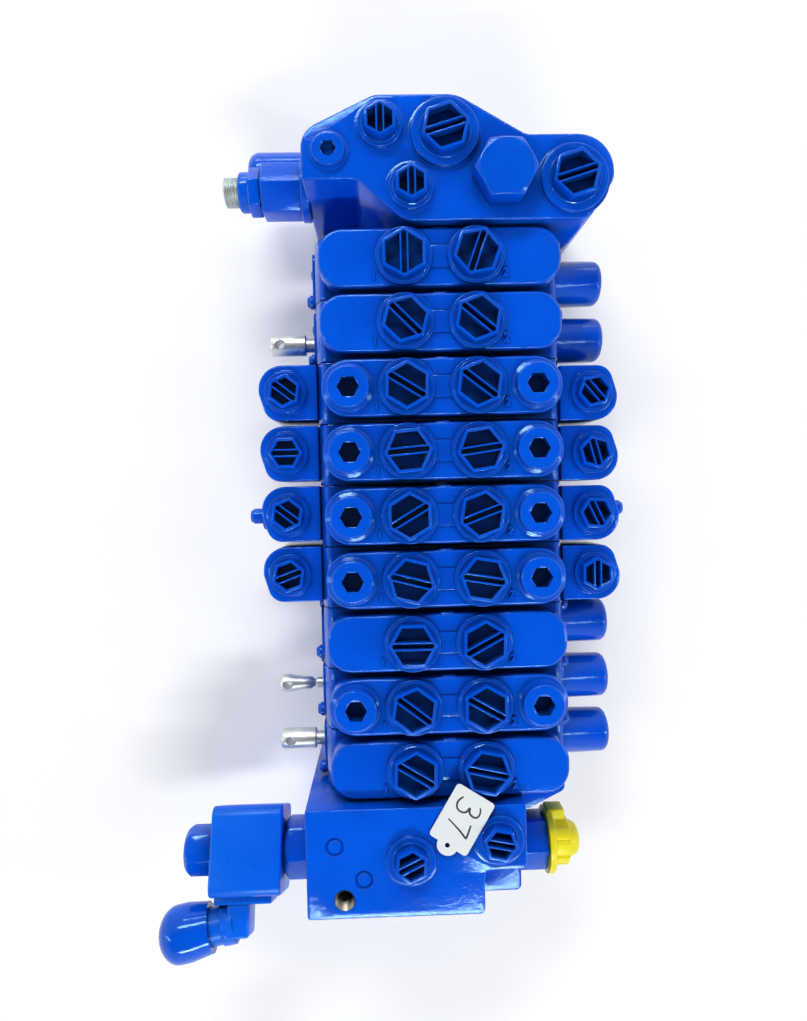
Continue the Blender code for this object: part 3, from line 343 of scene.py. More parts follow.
def painted(name, colours, grain, grain_size, roughness=(0.05, 0.13)):
    """Thick gloss paint: slow colour drift, dust specks, painted shade in the hollows, orange peel and the
    casting's grain under it.
    """
    material, tree, shader = shader_of(name)
    drift = noise_of(tree, 22.0, 2.0)
    base = ramp_of(tree, drift.outputs["Fac"], [(0.35, colours[0]), (0.65, colours[1])])
    specks = noise_of(tree, 900.0, 1.0)
    spots = ramp_of(tree, specks.outputs["Fac"], [(0.70, (0.0,)), (0.76, (1.0,))])
    mix = tree.nodes.new("ShaderNodeMix")
    mix.data_type = "RGBA"
    tree.links.new(spots.outputs["Color"], mix.inputs["Factor"])
    tree.links.new(base.outputs["Color"], mix.inputs["A"])
    mix.inputs["B"].default_value = (*colours[2], 1.0)
    # Painted shade: ambient occlusion darkens the base colour, tinted toward teal, in the slits, recesses and
    # the feet of the walls
    hollow = tree.nodes.new("ShaderNodeAmbientOcclusion")
    hollow.samples = 8
    hollow.inputs["Distance"].default_value = 0.018
    painted_shade = ramp_of(tree, hollow.outputs["AO"], [(0.20, (0.26, 0.40, 0.26)), (0.95, (1.0,))])
    shade = tree.nodes.new("ShaderNodeMix")
    shade.data_type = "RGBA"
    shade.blend_type = "MULTIPLY"
    shade.inputs["Factor"].default_value = 1.0
    tree.links.new(mix.outputs["Result"], shade.inputs["A"])
    tree.links.new(painted_shade.outputs["Color"], shade.inputs["B"])
    tree.links.new(shade.outputs["Result"], shader.inputs["Base Color"])
    sheen = noise_of(tree, 60.0, 4.0)
    rough = ramp_of(tree, sheen.outputs["Fac"], [(0.3, (roughness[0],)), (0.75, (roughness[1],))])
    tree.links.new(rough.outputs["Color"], shader.inputs["Roughness"])
    peel = noise_of(tree, 160.0, 2.0)
    cast = noise_of(tree, grain_size, 4.0, 0.6)
    first = bump_of(tree, peel.outputs["Fac"], 0.00018, 0.4)
    last = bump_of(tree, cast.outputs["Fac"], grain, 0.4, first)
    tree.links.new(last.outputs["Normal"], shader.inputs["Normal"])
    shader.inputs["Specular IOR Level"].default_value = 0.48
    shader.inputs["Specular Tint"].default_value = (0.42, 0.82, 1.0, 1.0)
    return material


def metal(name, colours, roughness, scratch=(30.0, 900.0, 900.0)):
    """Turned or plated steel: fine turning marks and a slight tint that drifts."""
    material, tree, shader = shader_of(name)
    tint = noise_of(tree, 90.0, 3.0)
    base = ramp_of(tree, tint.outputs["Fac"], [(0.35, colours[0]), (0.65, colours[1])])
    tree.links.new(base.outputs["Color"], shader.inputs["Base Color"])
    place = tree.nodes.new("ShaderNodeTexCoord")
    stretch = tree.nodes.new("ShaderNodeMapping")
    stretch.inputs["Scale"].default_value = scratch
    tree.links.new(place.outputs["Object"], stretch.inputs["Vector"])
    lines = tree.nodes.new("ShaderNodeTexNoise")
    lines.inputs["Scale"].default_value = 4.0
    tree.links.new(stretch.outputs["Vector"], lines.inputs["Vector"])
    rough = ramp_of(tree, lines.outputs["Fac"], [(0.3, (roughness[0],)), (0.7, (roughness[1],))])
    tree.links.new(rough.outputs["Color"], shader.inputs["Roughness"])
    bump = bump_of(tree, lines.outputs["Fac"], 0.00006, 0.5)
    tree.links.new(bump.outputs["Normal"], shader.inputs["Normal"])
    shader.inputs["Metallic"].default_value = 1.0
    return material


# Paints: the two colours that drift into each other, then the specks
CAST_BLUE = ((0.0, 0.090, 0.76), (0.0, 0.112, 0.88), (0.0, 0.17, 0.94))
PLUG_BLUE = ((0.0, 0.088, 0.72), (0.0, 0.112, 0.85), (0.0, 0.18, 0.94))
COIL_BLUE = ((0.0, 0.132, 0.88), (0.0, 0.150, 0.95), (0.01, 0.22, 1.0))
ZINC_TINTS = ((0.54, 0.60, 0.59), (0.72, 0.75, 0.71))
# Steel of the open hole: bare steel tints darkened far down as painted shade of the deep hole
SHADED_THREAD_TINTS = ((0.05, 0.05, 0.045), (0.30, 0.28, 0.24))
cast_paint = painted("blue_cast_paint", CAST_BLUE, 0.00030, 420.0)
plug_paint = painted("blue_plug_paint", PLUG_BLUE, 0.00012, 500.0)
coil_paint = painted("blue_coil_paint", COIL_BLUE, 0.00006, 700.0, (0.26, 0.38))
zinc = metal("zinc_steel", ZINC_TINTS, (0.34, 0.52))
shaded_thread_steel = metal("shaded_thread_steel", SHADED_THREAD_TINTS, (0.28, 0.50), (300.0, 300.0, 300.0))


def yellow_plastic():
    material, tree, shader = shader_of("yellow_plastic")
    drift = noise_of(tree, 70.0, 2.0)
    base = ramp_of(tree, drift.outputs["Fac"], [(0.3, (0.98, 0.84, 0.006)), (0.7, (1.0, 0.92, 0.015))])
    tree.links.new(base.outputs["Color"], shader.inputs["Base Color"])
    grain = noise_of(tree, 900.0, 3.0)
    bump = bump_of(tree, grain.outputs["Fac"], 0.00008, 0.6)
    tree.links.new(bump.outputs["Normal"], shader.inputs["Normal"])
    rough = ramp_of(tree, drift.outputs["Fac"], [(0.3, (0.33,)), (0.7, (0.45,))])
    tree.links.new(rough.outputs["Color"], shader.inputs["Roughness"])
    shader.inputs["Subsurface Weight"].default_value = 0.06
    shader.inputs["Subsurface Radius"].default_value = (0.003, 0.002, 0.0005)
    return material


yellow = yellow_plastic()


def card_paper():
    material, tree, shader = shader_of("card")
    fibre = noise_of(tree, 1200.0, 4.0, 0.6)
    base = ramp_of(tree, fibre.outputs["Fac"], [(0.3, (0.80, 0.85, 0.88)), (0.7, (0.88, 0.92, 0.94))])
    tree.links.new(base.outputs["Color"], shader.inputs["Base Color"])
    bump = bump_of(tree, fibre.outputs["Fac"], 0.00005, 0.5)
    tree.links.new(bump.outputs["Normal"], shader.inputs["Normal"])
    shader.inputs["Roughness"].default_value = 0.62
    return material


card = card_paper()


def dress(name, mesh, matrix, material, body=BODY, replaced=None):
    """A finished piece in the stack's frame, riding on its body."""
    obj = bpy.data.objects.new(name, mesh)
    pieces.objects.link(obj)
    obj.matrix_world = STACK @ matrix
    if not mesh.materials:
        mesh.materials.append(material)
    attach(obj, body)
    if replaced:
        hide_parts(replaced)


# Port plugs
PORT_FLANGE, PORT_FLATS = 0.0355, 0.0265
PLUG_THICKNESS = 0.003
PLUG_HEX_HEIGHT = 0.0072
PLUG_WALL = 0.0020
PLUG_RECESS = 0.0096
RIB_THICKNESS = 0.0011
RIB_SPACING = 0.0042
RIB_DROP = 0.0006


def slot_plug(flange, flats, sides=64):
    """Round flange with a rounded rim, thin-walled hexagonal cup, and a slot between two ribs."""
    face = SEAT_GAP + PLUG_THICKNESS
    top = face + PLUG_HEX_HEIGHT
    floor = top - PLUG_RECESS
    neck = flats / 2 / cos(pi / 6) + 0.0004
    foot = [(0.0, face + 0.0003), (neck, face + 0.0003), (neck + 0.0004, face)]
    rim = fillet(flange / 2, face, 0.0007)
    disc = turned([*foot, *rim, (flange / 2, 0.0), (0.0, 0.0)], sides)
    cup = hexagon(flats, face - SUNK, top, edge=0.0005)
    recess = hexagon(flats - 2 * PLUG_WALL, floor, top + SUNK)
    inside = flats / 2 - PLUG_WALL
    mouth = (inside + 0.0012) / cos(pi / 6)
    lead = column(6, inside / cos(pi / 6), top - 0.0006, top + 0.0006, spin(30), mouth)
    hollow = combined(combined(disc, [cup]), cut=[recess, lead])
    reach = flats / 2 - PLUG_WALL / 2
    inner = RIB_SPACING / 2 - RIB_THICKNESS / 2
    ribs = [
        block((-reach, reach), y, (floor - 0.0005, top - RIB_DROP), edge=0.00025)
        for y in ((inner, inner + RIB_THICKNESS), (-inner - RIB_THICKNESS, -inner))
    ]
    return combined(hollow, ribs)


# Turns in degrees of the plugs a and b, from section 1 on
PLUG_TURNS = ((90, 70), (-45, -40), (-32, -38), (5, 8), (30, 20), (-15, -10), (0, 28), (-38, -30), (-32, -13))
port_plug = mesh_of(slot_plug(PORT_FLANGE, PORT_FLATS), "port_plug")
for n in SECTION_NUMBERS:
    for letter, sign, turn in zip("ab", (-1, 1), PLUG_TURNS[n - 1]):
        label = "%s%d" % (letter, n)
        place = at(sign * PORT_SPACING / 2, section_y[n], PORT_FACE_Z) @ spin(turn)
        dress("plug_" + label, port_plug, place, plug_paint, replaced="port_plug_" + label)

# Section castings
BODY_BOTTOM_Z, FOOT_WIDTH, FLARE_Z = 0.007, 0.136, 0.024
SHOULDER_Z, SHOULDER_WIDTH, SHOULDER_DROP = 0.103, 0.152, 0.011
SIDE_ROUND = 0.005
PAD_LENGTH, PAD_WIDTH, PAD_CORNER = 0.151, 0.036, 0.0155
HEAD_SPACING, HEAD_DIAMETER, HEAD_HEIGHT, HEAD_SOCKET = 0.117, 0.0265, 0.0075, 0.012
COVER_WIDTH, COVER_HEIGHT, COVER_THICKNESS, COVER_CORNER = 0.037, 0.045, 0.003, 0.006
COVER_BORE_R = 0.0084
SCREW_PLACES = ((-0.0142, 0.017), (0.0142, -0.017))
SPOOL_AXIS = at(0, 0, SPOOL_Z) @ AXIS_X


def cover_shape(x, outward, thickness):
    """A cover plate with round corners, on a side face at x."""
    outline = box_outline(
        (-COVER_HEIGHT / 2, COVER_HEIGHT / 2), (-COVER_WIDTH / 2, COVER_WIDTH / 2), COVER_CORNER, 4
    )
    ends = sorted((x, x + outward * thickness))
    return plate(outline, ends[0], ends[1], SPOOL_AXIS, edge=0.0008, segments=2)


def section_shape(headed, cover):
    """A section casting: body, port pad, and where it has them the round heads and the left cover."""
    half = (PITCH - SEAT_GAP) / 2
    w, s = BODY_WIDTH / 2, SHOULDER_WIDTH / 2
    side = rounded(
        [
            (-FOOT_WIDTH / 2, BODY_BOTTOM_Z, SIDE_ROUND),
            (FOOT_WIDTH / 2, BODY_BOTTOM_Z, SIDE_ROUND),
            (w, FLARE_Z, SIDE_ROUND),
            (w, SHOULDER_Z - SHOULDER_DROP, SIDE_ROUND),
            (s, SHOULDER_Z, SIDE_ROUND),
            (-s, SHOULDER_Z, SIDE_ROUND),
            (-w, SHOULDER_Z - SHOULDER_DROP, SIDE_ROUND),
            (-w, FLARE_Z, SIDE_ROUND),
        ],
        4,
    )
    body = plate(side, -half, half, spin(90, "X"), edge=0.0009, segments=2)
    corner = min(PAD_WIDTH / 2 - 0.0002, PAD_CORNER + (0.002 if headed else 0.0))
    pad = plate(
        box_outline((-PAD_LENGTH / 2, PAD_LENGTH / 2), (-PAD_WIDTH / 2, PAD_WIDTH / 2), corner, 12),
        SHOULDER_Z - 0.004,
        PORT_FACE_Z,
        edge=0.0020,
        segments=4,
    )
    # The low step between the ports and the small bulge on the far edge of the pad
    step_z = (PORT_FACE_Z - 0.002, PORT_FACE_Z + 0.0012)
    bulge_z = (PORT_FACE_Z - 0.014, PORT_FACE_Z - 0.0008)
    add = [
        pad,
        block((-0.012, 0.012), (-0.0068, 0.0068), step_z, edge=0.0005),
        block((-0.005, 0.005), (0.015, 0.0188), bulge_z, edge=0.0017, segments=3),
    ]
    cut = []
    for sign in (-1, 1) if headed else ():
        place = at(sign * HEAD_SPACING / 2, 0, PORT_FACE_Z)
        r = HEAD_DIAMETER / 2
        foot_r = r + 0.0022
        top = [(0.0, HEAD_HEIGHT), *fillet(r, HEAD_HEIGHT, 0.0014), (r, 0.0016)]
        add.append(turned([*top, (foot_r, 0.0006), (foot_r, -SUNK), (0.0, -SUNK)], 56, place))
        cut.append(hexagon(HEAD_SOCKET, HEAD_HEIGHT - 0.012, HEAD_HEIGHT + SUNK, place))
        cut.append(column(40, 0.0058, HEAD_HEIGHT - 0.0006, HEAD_HEIGHT + 0.0008, place, 0.0084))
    if cover:
        add.append(cover_shape(LEFT_FACE + SUNK, -1, COVER_THICKNESS + SUNK))
    if cover == "open":
        cut.append(column(40, COVER_BORE_R, LEFT_FACE - 0.006, LEFT_FACE + 0.02, SPOOL_AXIS))
    return combined(body, add, cut)


castings = {}
for n in SECTION_NUMBERS:
    cover = "open" if n in EYE_SECTIONS or n == TAB_SECTION else "blind" if n in COVERED else ""
    kind = (n in HEADED_SECTIONS, cover)
    if kind not in castings:
        castings[kind] = mesh_of(section_shape(*kind), "casting_%d_%s" % kind)
    place = at(y=section_y[n])
    dress("casting_%d" % n, castings[kind], place, cast_paint, replaced="section_%d" % n)

# Cast numerals beside the ports: text and place about the middle of the section
NUMERALS = (("1", -0.0412, -0.0140), ("2", 0.0405, -0.0130))
NUMERAL_SIZE, NUMERAL_HEIGHT, NUMERAL_SWELL, NUMERAL_EDGE = 0.0070, 0.0012, 0.00022, 0.00025


def numeral(text):
    """A raised cast number."""
    curve = bpy.data.curves.new("numeral", "FONT")
    curve.body = text
    curve.size = NUMERAL_SIZE
    curve.extrude = NUMERAL_HEIGHT
    curve.offset = NUMERAL_SWELL
    curve.bevel_depth = NUMERAL_EDGE
    curve.bevel_resolution = 1
    curve.resolution_u = 4
    curve.align_x = "CENTER"
    return fixed(helper("numeral", curve))


for text, x, y in NUMERALS:
    mark = mesh_of(numeral(text), "mark_" + text)
    for n in SECTION_NUMBERS:
        place = at(x, section_y[n] + y, PORT_FACE_Z)
        dress("mark_%s_%d" % (text, n), mark, place, cast_paint)

# Cover screws: round heads with a hexagon key socket
SCREW_HEIGHT, SCREW_R, SCREW_FOOT_R, SCREW_SOCKET = 0.0042, 0.0036, 0.00475, 0.003
top = [(0.0, SCREW_HEIGHT), *fillet(SCREW_R, SCREW_HEIGHT, 0.0012)]
head = turned([*top, (SCREW_FOOT_R, 0.0016), (SCREW_FOOT_R, 0.0), (0.0, 0.0)], 32)
screw_head = mesh_of(combined(head, cut=[hexagon(SCREW_SOCKET, 0.002, 0.005)]), "screw_head")


def cover_screws(label, y, x, direction, flip=1):
    for k, (dy, dz) in enumerate(SCREW_PLACES):
        place = at(x, y + flip * dy, SPOOL_Z + dz) @ direction @ spin(20 + 50 * k)
        dress("screw_%s_%d" % (label, k + 1), screw_head, place, plug_paint)


for n in COVERED:
    cover_screws("left_%d" % n, section_y[n], LEFT_FACE - COVER_THICKNESS, AXIS_LEFT)

# Spools: lands and waists about their middle, and their ends
SPOOL_R, WAIST_R, STEM_R = 0.008, 0.0055, 0.0045
SPOOL_HALF, OUTER_LAND, INNER_LAND, STEM = 0.069, 0.035, 0.013, 0.026
SPOOL_EDGE = 0.0004
EYE_END, EYE_R, EYE_LENGTH, EYE_HOLE = -0.1155, 0.00725, 0.025, 0.003
TAB_R, TAB_LENGTH = 0.0063, 0.0265


def eye_cutters(x, radius, depth):
    """The hole through a spool's eye, and the sunk edge of its upper end."""
    hole = at(x)
    return [
        column(32, EYE_HOLE, -0.02, 0.02, hole),
        column(32, EYE_HOLE - 0.0004, radius - depth, radius + 0.0006, hole, EYE_HOLE + 0.0012),
    ]


def spool_shape(kind):
    right = SPOOL_HALF + STEM
    shoulder = SPOOL_R - SPOOL_EDGE
    profile = [
        (0.0, right),
        *fillet(STEM_R, right, 0.0008, 2),
        (STEM_R, SPOOL_HALF),
        (shoulder, SPOOL_HALF),
        (SPOOL_R, SPOOL_HALF - SPOOL_EDGE),
        (SPOOL_R, OUTER_LAND),
        (WAIST_R, OUTER_LAND),
        (WAIST_R, INNER_LAND),
        (SPOOL_R, INNER_LAND),
        (SPOOL_R, -INNER_LAND),
        (WAIST_R, -INNER_LAND),
        (WAIST_R, -OUTER_LAND),
        (SPOOL_R, -OUTER_LAND),
        (SPOOL_R, -SPOOL_HALF + SPOOL_EDGE),
        (shoulder, -SPOOL_HALF),
    ]
    if kind == "pilot":
        low_end = [(r, -z) for r, z in fillet(STEM_R, right, 0.0008, 2)][::-1]
        return turned([*profile, (STEM_R, -SPOOL_HALF), *low_end, (0.0, -right)], 40, AXIS_X)
    if kind == "blind":
        return turned([*profile, (0.0, -SPOOL_HALF)], 40, AXIS_X)
    if kind == "eye":
        root_x = EYE_END + EYE_LENGTH
        profile += [(0.005, -SPOOL_HALF), (0.005, root_x), (EYE_R - 0.0004, root_x), (EYE_R, root_x - 0.0004)]
        profile += [(EYE_R, EYE_END + 0.0022), (EYE_R - 0.0007, EYE_END + 0.0007)]
        profile += [(EYE_R - 0.0022, EYE_END), (0.0, EYE_END)]
        return combined(turned(profile, 48, AXIS_X), cut=eye_cutters(EYE_END + 0.0075, EYE_R, 0.0014))
    # The smaller eye on a waisted neck
    root_x = EYE_END + TAB_LENGTH
    profile += [(0.0038, -SPOOL_HALF), (0.0038, root_x + 0.0004), (0.0034, root_x), (0.0020, root_x - 0.0002)]
    profile += [(0.0020, root_x - 0.0009), (0.0030, root_x - 0.0024), (0.00425, root_x - 0.0040)]
    profile += [(0.0046, EYE_END + 0.0175), (0.0056, EYE_END + 0.0110), (TAB_R, EYE_END + TAB_R + 0.0010)]
    profile += [(TAB_R, EYE_END + 0.0026), (TAB_R - 0.0006, EYE_END + 0.0011)]
    profile += [(TAB_R - 0.0022, EYE_END), (0.0, EYE_END)]
    return combined(turned(profile, 48, AXIS_X), cut=eye_cutters(EYE_END + TAB_R, TAB_R, 0.0016))


def spool_kind(n):
    if n in PILOT_SECTIONS:
        return "pilot"
    if n in EYE_SECTIONS:
        return "eye"
    return "tab" if n == TAB_SECTION else "blind"


spools = {}
for n in SECTION_NUMBERS:
    kind = spool_kind(n)
    if kind not in spools:
        spools[kind] = mesh_of(spool_shape(kind), "spool_" + kind)
    place = at(0, section_y[n], SPOOL_Z)
    dress("bright_spool_%d" % n, spools[kind], place, zinc, "spool_slide_%d" % n, "spool_%d" % n)

# Spring caps
CAP_LENGTH, CAP_R, CAP_WALL = 0.0374, 0.016, 0.0035


def spring_cap_shape():
    start = RIGHT_FACE + SEAT_GAP
    end = start + CAP_LENGTH
    flange = cover_shape(start, 1, COVER_THICKNESS)
    foot_r = CAP_R + 0.0012
    top = [(0.0, end), *fillet(CAP_R - 0.0006, end, 0.005, 6), (CAP_R, start + 0.007)]
    foot = [(foot_r, start + 0.005), (foot_r, start + SUNK), (0.0, start + SUNK)]
    can = turned([*top, *foot], 64, SPOOL_AXIS)
    inner = column(32, CAP_R - CAP_WALL, start - SUNK, end - 0.006, SPOOL_AXIS)
    return combined(flange, [can], [inner])


spring_cap = mesh_of(spring_cap_shape(), "spring_can")
for n in COVERED:
    place = at(y=section_y[n])
    dress("spring_can_%d" % n, spring_cap, place, cast_paint, replaced="spring_cap_%d" % n)
    cover_screws("right_%d" % n, section_y[n], RIGHT_FACE + SEAT_GAP + COVER_THICKNESS, AXIS_X, -1)

# Pilot caps
PILOT_LENGTH, PILOT_WIDTH = 0.0388, 0.0366
PILOT_TOP, PILOT_BOTTOM = 0.095, 0.033
PILOT_SHIFT, PILOT_PORT_INSET = 0.0018, 0.0179
PILOT_SEAT_R, PILOT_SEAT_HEIGHT = 0.0150, 0.0006
PILOT_FLANGE, PILOT_FLATS = 0.0275, 0.0195
BLEED_SECTION, BLEED_R = 5, 0.00975
# Turns in degrees of the left and the right plug
PILOT_TURNS = {3: (-38, -50), 4: (0, -75), 5: (-38, -65), 6: (20, 90)}


def pilot_port(side, z):
    """The middle of a pilot cap's port, from the side face of its section."""
    return at(side * (SEAT_GAP + PILOT_LENGTH - PILOT_PORT_INSET), -side * PILOT_SHIFT, z)


def pilot_shape(side, bleed):
    """A pilot cap, with its spot face and, on some, the stepped bleed plug on its end."""
    half = PILOT_WIDTH / 2
    start, end = SEAT_GAP, SEAT_GAP + PILOT_LENGTH
    outline = rounded(
        [
            (start, -half, 0.0),
            (start, half, 0.0),
            (end, half, 0.0155),
            (end, 0.0, 0.012),
            (end - 0.0055, -half, 0.0105),
        ],
        8,
    )
    flip = (-1, 1) if side < 0 else (1, -1)
    points = [(x * flip[0], (y + PILOT_SHIFT) * flip[1]) for x, y in outline]
    body = plate(points, PILOT_BOTTOM, PILOT_TOP, edge=0.0011, segments=3)
    add = [spot_face(PILOT_SEAT_R, PILOT_SEAT_HEIGHT, 56, pilot_port(side, PILOT_TOP))]
    if bleed:
        tip, step = end + 0.0136, end + 0.0045
        nose = [(0.0, tip), *fillet(0.0045, tip, 0.0012, 3), (0.0055, end + 0.0110), (0.0055, step)]
        nose += [*fillet(BLEED_R, step, 0.001, 2), (BLEED_R, end - 0.003), (0.0, end - 0.003)]
        add.append(turned(nose, 40, at(0, 0, SPOOL_Z) @ (AXIS_X if side > 0 else AXIS_LEFT)))
    return combined(body, add)


pilot_plug = mesh_of(slot_plug(PILOT_FLANGE, PILOT_FLATS, 48), "pilot_plug")
pilot_bodies = {}
for n in PILOT_SECTIONS:
    for side, word, face, turn in zip((-1, 1), ("left", "right"), (LEFT_FACE, RIGHT_FACE), PILOT_TURNS[n]):
        label = "%s_%d" % (word, n)
        key = (side, n == BLEED_SECTION)
        if key not in pilot_bodies:
            pilot_bodies[key] = mesh_of(pilot_shape(*key), "pilot_" + label)
        place = at(face, section_y[n], 0)
        body = pilot_bodies[key]
        dress("pilot_head_" + label, body, place, cast_paint, replaced="pilot_cap_" + label)
        port = place @ pilot_port(side, PILOT_TOP + 0.0002)
        dress("pilot_plug_" + label, pilot_plug, port @ spin(turn), plug_paint)

# Inlet section, about the middle of the stack's near end
INLET = at(y=STACK_HALF)
INLET_TOP = 0.130
INLET_LEFT = -0.0838
SEAT_HEIGHT = 0.0005
# Slotted plugs: kind, place, turn in degrees and radius of the spot face
INLET_PLUGS = (
    ("small", -0.0351, 0.0575, 90, 0.0160),
    ("small", -0.0170, 0.0203, 90, 0.0160),
    ("large", 0.0040, 0.0525, 17, 0.0225),
    ("large", 0.0829, 0.0240, 17, 0.0225),
)


def inlet_shape():
    near = SEAT_GAP / 2
    outline = rounded(
        [
            (INLET_LEFT, 0.0258, 0.002),
            (-0.0504, 0.0258, 0.008),
            (-0.0209, near, 0.010),
            (0.0925, near, 0.010),
            (0.1083, 0.0245, 0.012),
            (0.1083, 0.0520, 0.0225),
            (0.0543, 0.0520, 0.012),
            (0.0120, 0.0767, 0.025),
            (-0.0386, 0.0767, 0.015),
            (INLET_LEFT, 0.0551, 0.016),
        ],
        10,
    )
    body = plate(outline, 0.0, INLET_TOP, edge=0.0016)
    flange = block((LEFT_FACE + 0.002, 0.0), (near, 0.0298), (0.0, 0.040), edge=0.0015, segments=3)
    seats = [spot_face(r, SEAT_HEIGHT, 64, at(x, y, INLET_TOP)) for _, x, y, _, r in INLET_PLUGS]
    return combined(body, [flange, *seats])


inlet_casting = mesh_of(inlet_shape(), "inlet_casting")
dress("inlet_casting", inlet_casting, INLET, cast_paint, replaced="inlet_section")
inlet_plugs = {
    "small": mesh_of(slot_plug(0.0278, 0.0188, 48), "small_plug"),
    "large": mesh_of(slot_plug(0.0415, 0.0265, 64), "large_plug"),
}
for k, (kind, x, y, turn, r) in enumerate(INLET_PLUGS):
    place = INLET @ at(x, y, INLET_TOP) @ spin(turn)
    dress("inlet_plug_%d" % (k + 1), inlet_plugs[kind], place, plug_paint)

# Round plug with a hexagon socket
r, height = 0.01025, 0.005
foot_r = r + 0.002
top = [(0.0, height), *fillet(r, height, 0.001, 3), (r, 0.0012)]
socket = turned([*top, (foot_r, 0.0005), (foot_r, -SUNK), (0.0, -SUNK)], 48)
key = [hexagon(0.0085, 0.0003, 0.006), column(32, 0.0041, 0.0044, 0.0056, None, 0.0058)]
socket = combined(socket, cut=key)
place = INLET @ at(-0.0668, 0.0425, INLET_TOP)
dress("inlet_socket_plug", mesh_of(socket, "socket_plug"), place, plug_paint)

# Big hexagonal cap
height, corner_r = 0.016, 0.0205
profile = [(0.0, height), (0.0160, height), (corner_r, 0.0134), (corner_r, -0.002), (0.0, -0.002)]
crown = chamfered(hexagon(0.034, -SUNK, height), profile, edge=0.0005)
place = INLET @ at(0.0396, 0.0262, INLET_TOP)
dress("inlet_hex_cap", mesh_of(crown, "hex_cap"), place, plug_paint)

# Relief valve on the left side of the inlet: where its boss, wide hexagon, lock nut and ring end
RELIEF = INLET @ at(INLET_LEFT, 0.0385, 0.080) @ AXIS_LEFT
BOSS_END, WIDE_END, LOCK_NUT_END, RING_END = 0.0045, 0.0305, 0.0395, 0.0462
BOSS_R, WIDE_FLATS, LOCK_NUT_FLATS, COLLAR_R, RING_R = 0.0195, 0.0325, 0.0275, 0.0128, 0.0130
ring_foot = LOCK_NUT_END - SUNK
shapes = [
    turned([(0.0, BOSS_END), *fillet(BOSS_R, BOSS_END, 0.0012, 3), (BOSS_R, -SUNK), (0.0, -SUNK)], 64),
    hexagon(WIDE_FLATS, BOSS_END - 0.0005, WIDE_END, edge=0.0011, segments=3),
    hexagon(LOCK_NUT_FLATS, WIDE_END + 0.0006, LOCK_NUT_END, spin(11), edge=0.0012, segments=3),
    column(48, COLLAR_R, WIDE_END - SUNK, WIDE_END + SUNK),
    turned([(0.0, RING_END), *fillet(RING_R, RING_END, 0.0022), (RING_R, ring_foot), (0.0, ring_foot)], 56),
]
dress("relief_body", mesh_of(joined(shapes), "relief_body"), RELIEF, cast_paint)

# Damper cap under it
DAMPER = INLET @ at(INLET_LEFT, 0.063, 0.045) @ AXIS_LEFT
DAMPER_R, DAMPER_LENGTH = 0.017, 0.045
dome = [(0.0, DAMPER_LENGTH), *fillet(DAMPER_R, DAMPER_LENGTH, 0.008, 8)]
shape = turned([*dome, (DAMPER_R, -0.03), (0.0, -0.03)], 64)
dress("damper_cap", mesh_of(shape, "damper_cap"), DAMPER, cast_paint)

# Adjusting screw with its thread and key socket
SCREW_PLACE = RELIEF @ at(z=RING_END)
r, pitch, end, foot = 0.00975, 0.0015, 0.0095, -0.014
core_r = r - 0.0010
core = turned([(0.0, end), (r - 0.0018, end), (core_r, end - 0.0008), (core_r, foot), (0.0, foot)], 48)
key = [hexagon(0.008, 0.0035, 0.0105), column(32, 0.0036, 0.0091, 0.0099, None, 0.0052)]
core = combined(core, cut=key)
root = r - 0.0011
thread = turned([(root, pitch), (r, pitch / 2), (root, 0.0)], 48, at(z=-0.0135), rise=pitch, turns=15)
stud = mesh_of(joined([core, thread]), "adjusting_stud", 50)
dress("adjusting_stud", stud, SCREW_PLACE, zinc, "relief_screw", "relief_adjusting_screw")

# End section, about the middle of the stack's far end
END = at(y=-STACK_HALF)
END_TOP = 0.134
END_LEFT = -0.0915
LEDGE_TOP, END_FLANGE_TOP = 0.096, 0.080
END_EDGE = 0.0009
# Slotted plugs: place and turn in degrees
END_PLUGS = ((-0.0265, -0.0320, 25), (0.0281, -0.0208, -12))
END_SEAT_R = 0.0172
OPEN_HOLE = (-0.0682, -0.0565)
DIMPLES = ((-0.0737, -0.0232), (-0.0559, -0.0443))
SOLENOID_SEAT = at(END_LEFT, -0.0485, 0.079)
FITTING_Y, FITTING_Z = -0.0510, 0.075


def end_shape():
    near = -SEAT_GAP / 2
    main = plate(
        rounded(
            [
                (END_LEFT, near, 0.0),
                (END_LEFT, -0.0684, 0.0022),
                (0.0190, -0.0684, 0.004),
                (0.0190, -0.0410, 0.004),
                (0.0455, -0.0410, 0.004),
                (0.0455, near, 0.0),
            ],
            8,
        ),
        0.0,
        END_TOP,
        edge=END_EDGE,
        angle=60,
    )
    outline = [(-0.030, -0.0205, 0), (-0.030, -0.0755, 0.004), (0.0485, -0.0755, 0.004)]
    ledge = plate(rounded([*outline, (0.0485, -0.0205, 0)], 6), 0.0, LEDGE_TOP, edge=END_EDGE)
    outline = [(0, near, 0), (0, -0.027, 0), (0.058, -0.027, 0.005), (0.083, -0.015, 0.005)]
    flange = plate(rounded([*outline, (0.083, near, 0)], 6), 0.0, END_FLANGE_TOP, edge=END_EDGE)
    seats = [spot_face(END_SEAT_R, SEAT_HEIGHT, 64, at(x, y, END_TOP)) for x, y, _ in END_PLUGS]
    cut = [
        column(40, 0.0060, END_TOP - 0.024, END_TOP + SUNK, at(*OPEN_HOLE)),
        column(40, 0.0057, END_TOP - 0.0010, END_TOP + 0.0004, at(*OPEN_HOLE), 0.0071),
        column(40, 0.0113, -0.019, SUNK, SOLENOID_SEAT @ AXIS_LEFT),
    ]
    # Round dimples: a ring groove round a small island
    groove = [(0.0064, 0.001), (0.0062, 0.0), (0.0050, -0.0014), (0.0036, 0.0), (0.0034, 0.001)]
    cut += [turned([*groove, groove[0]], 40, at(x, y, END_TOP)) for x, y in DIMPLES]
    return combined(main, [ledge, flange, *seats], cut)


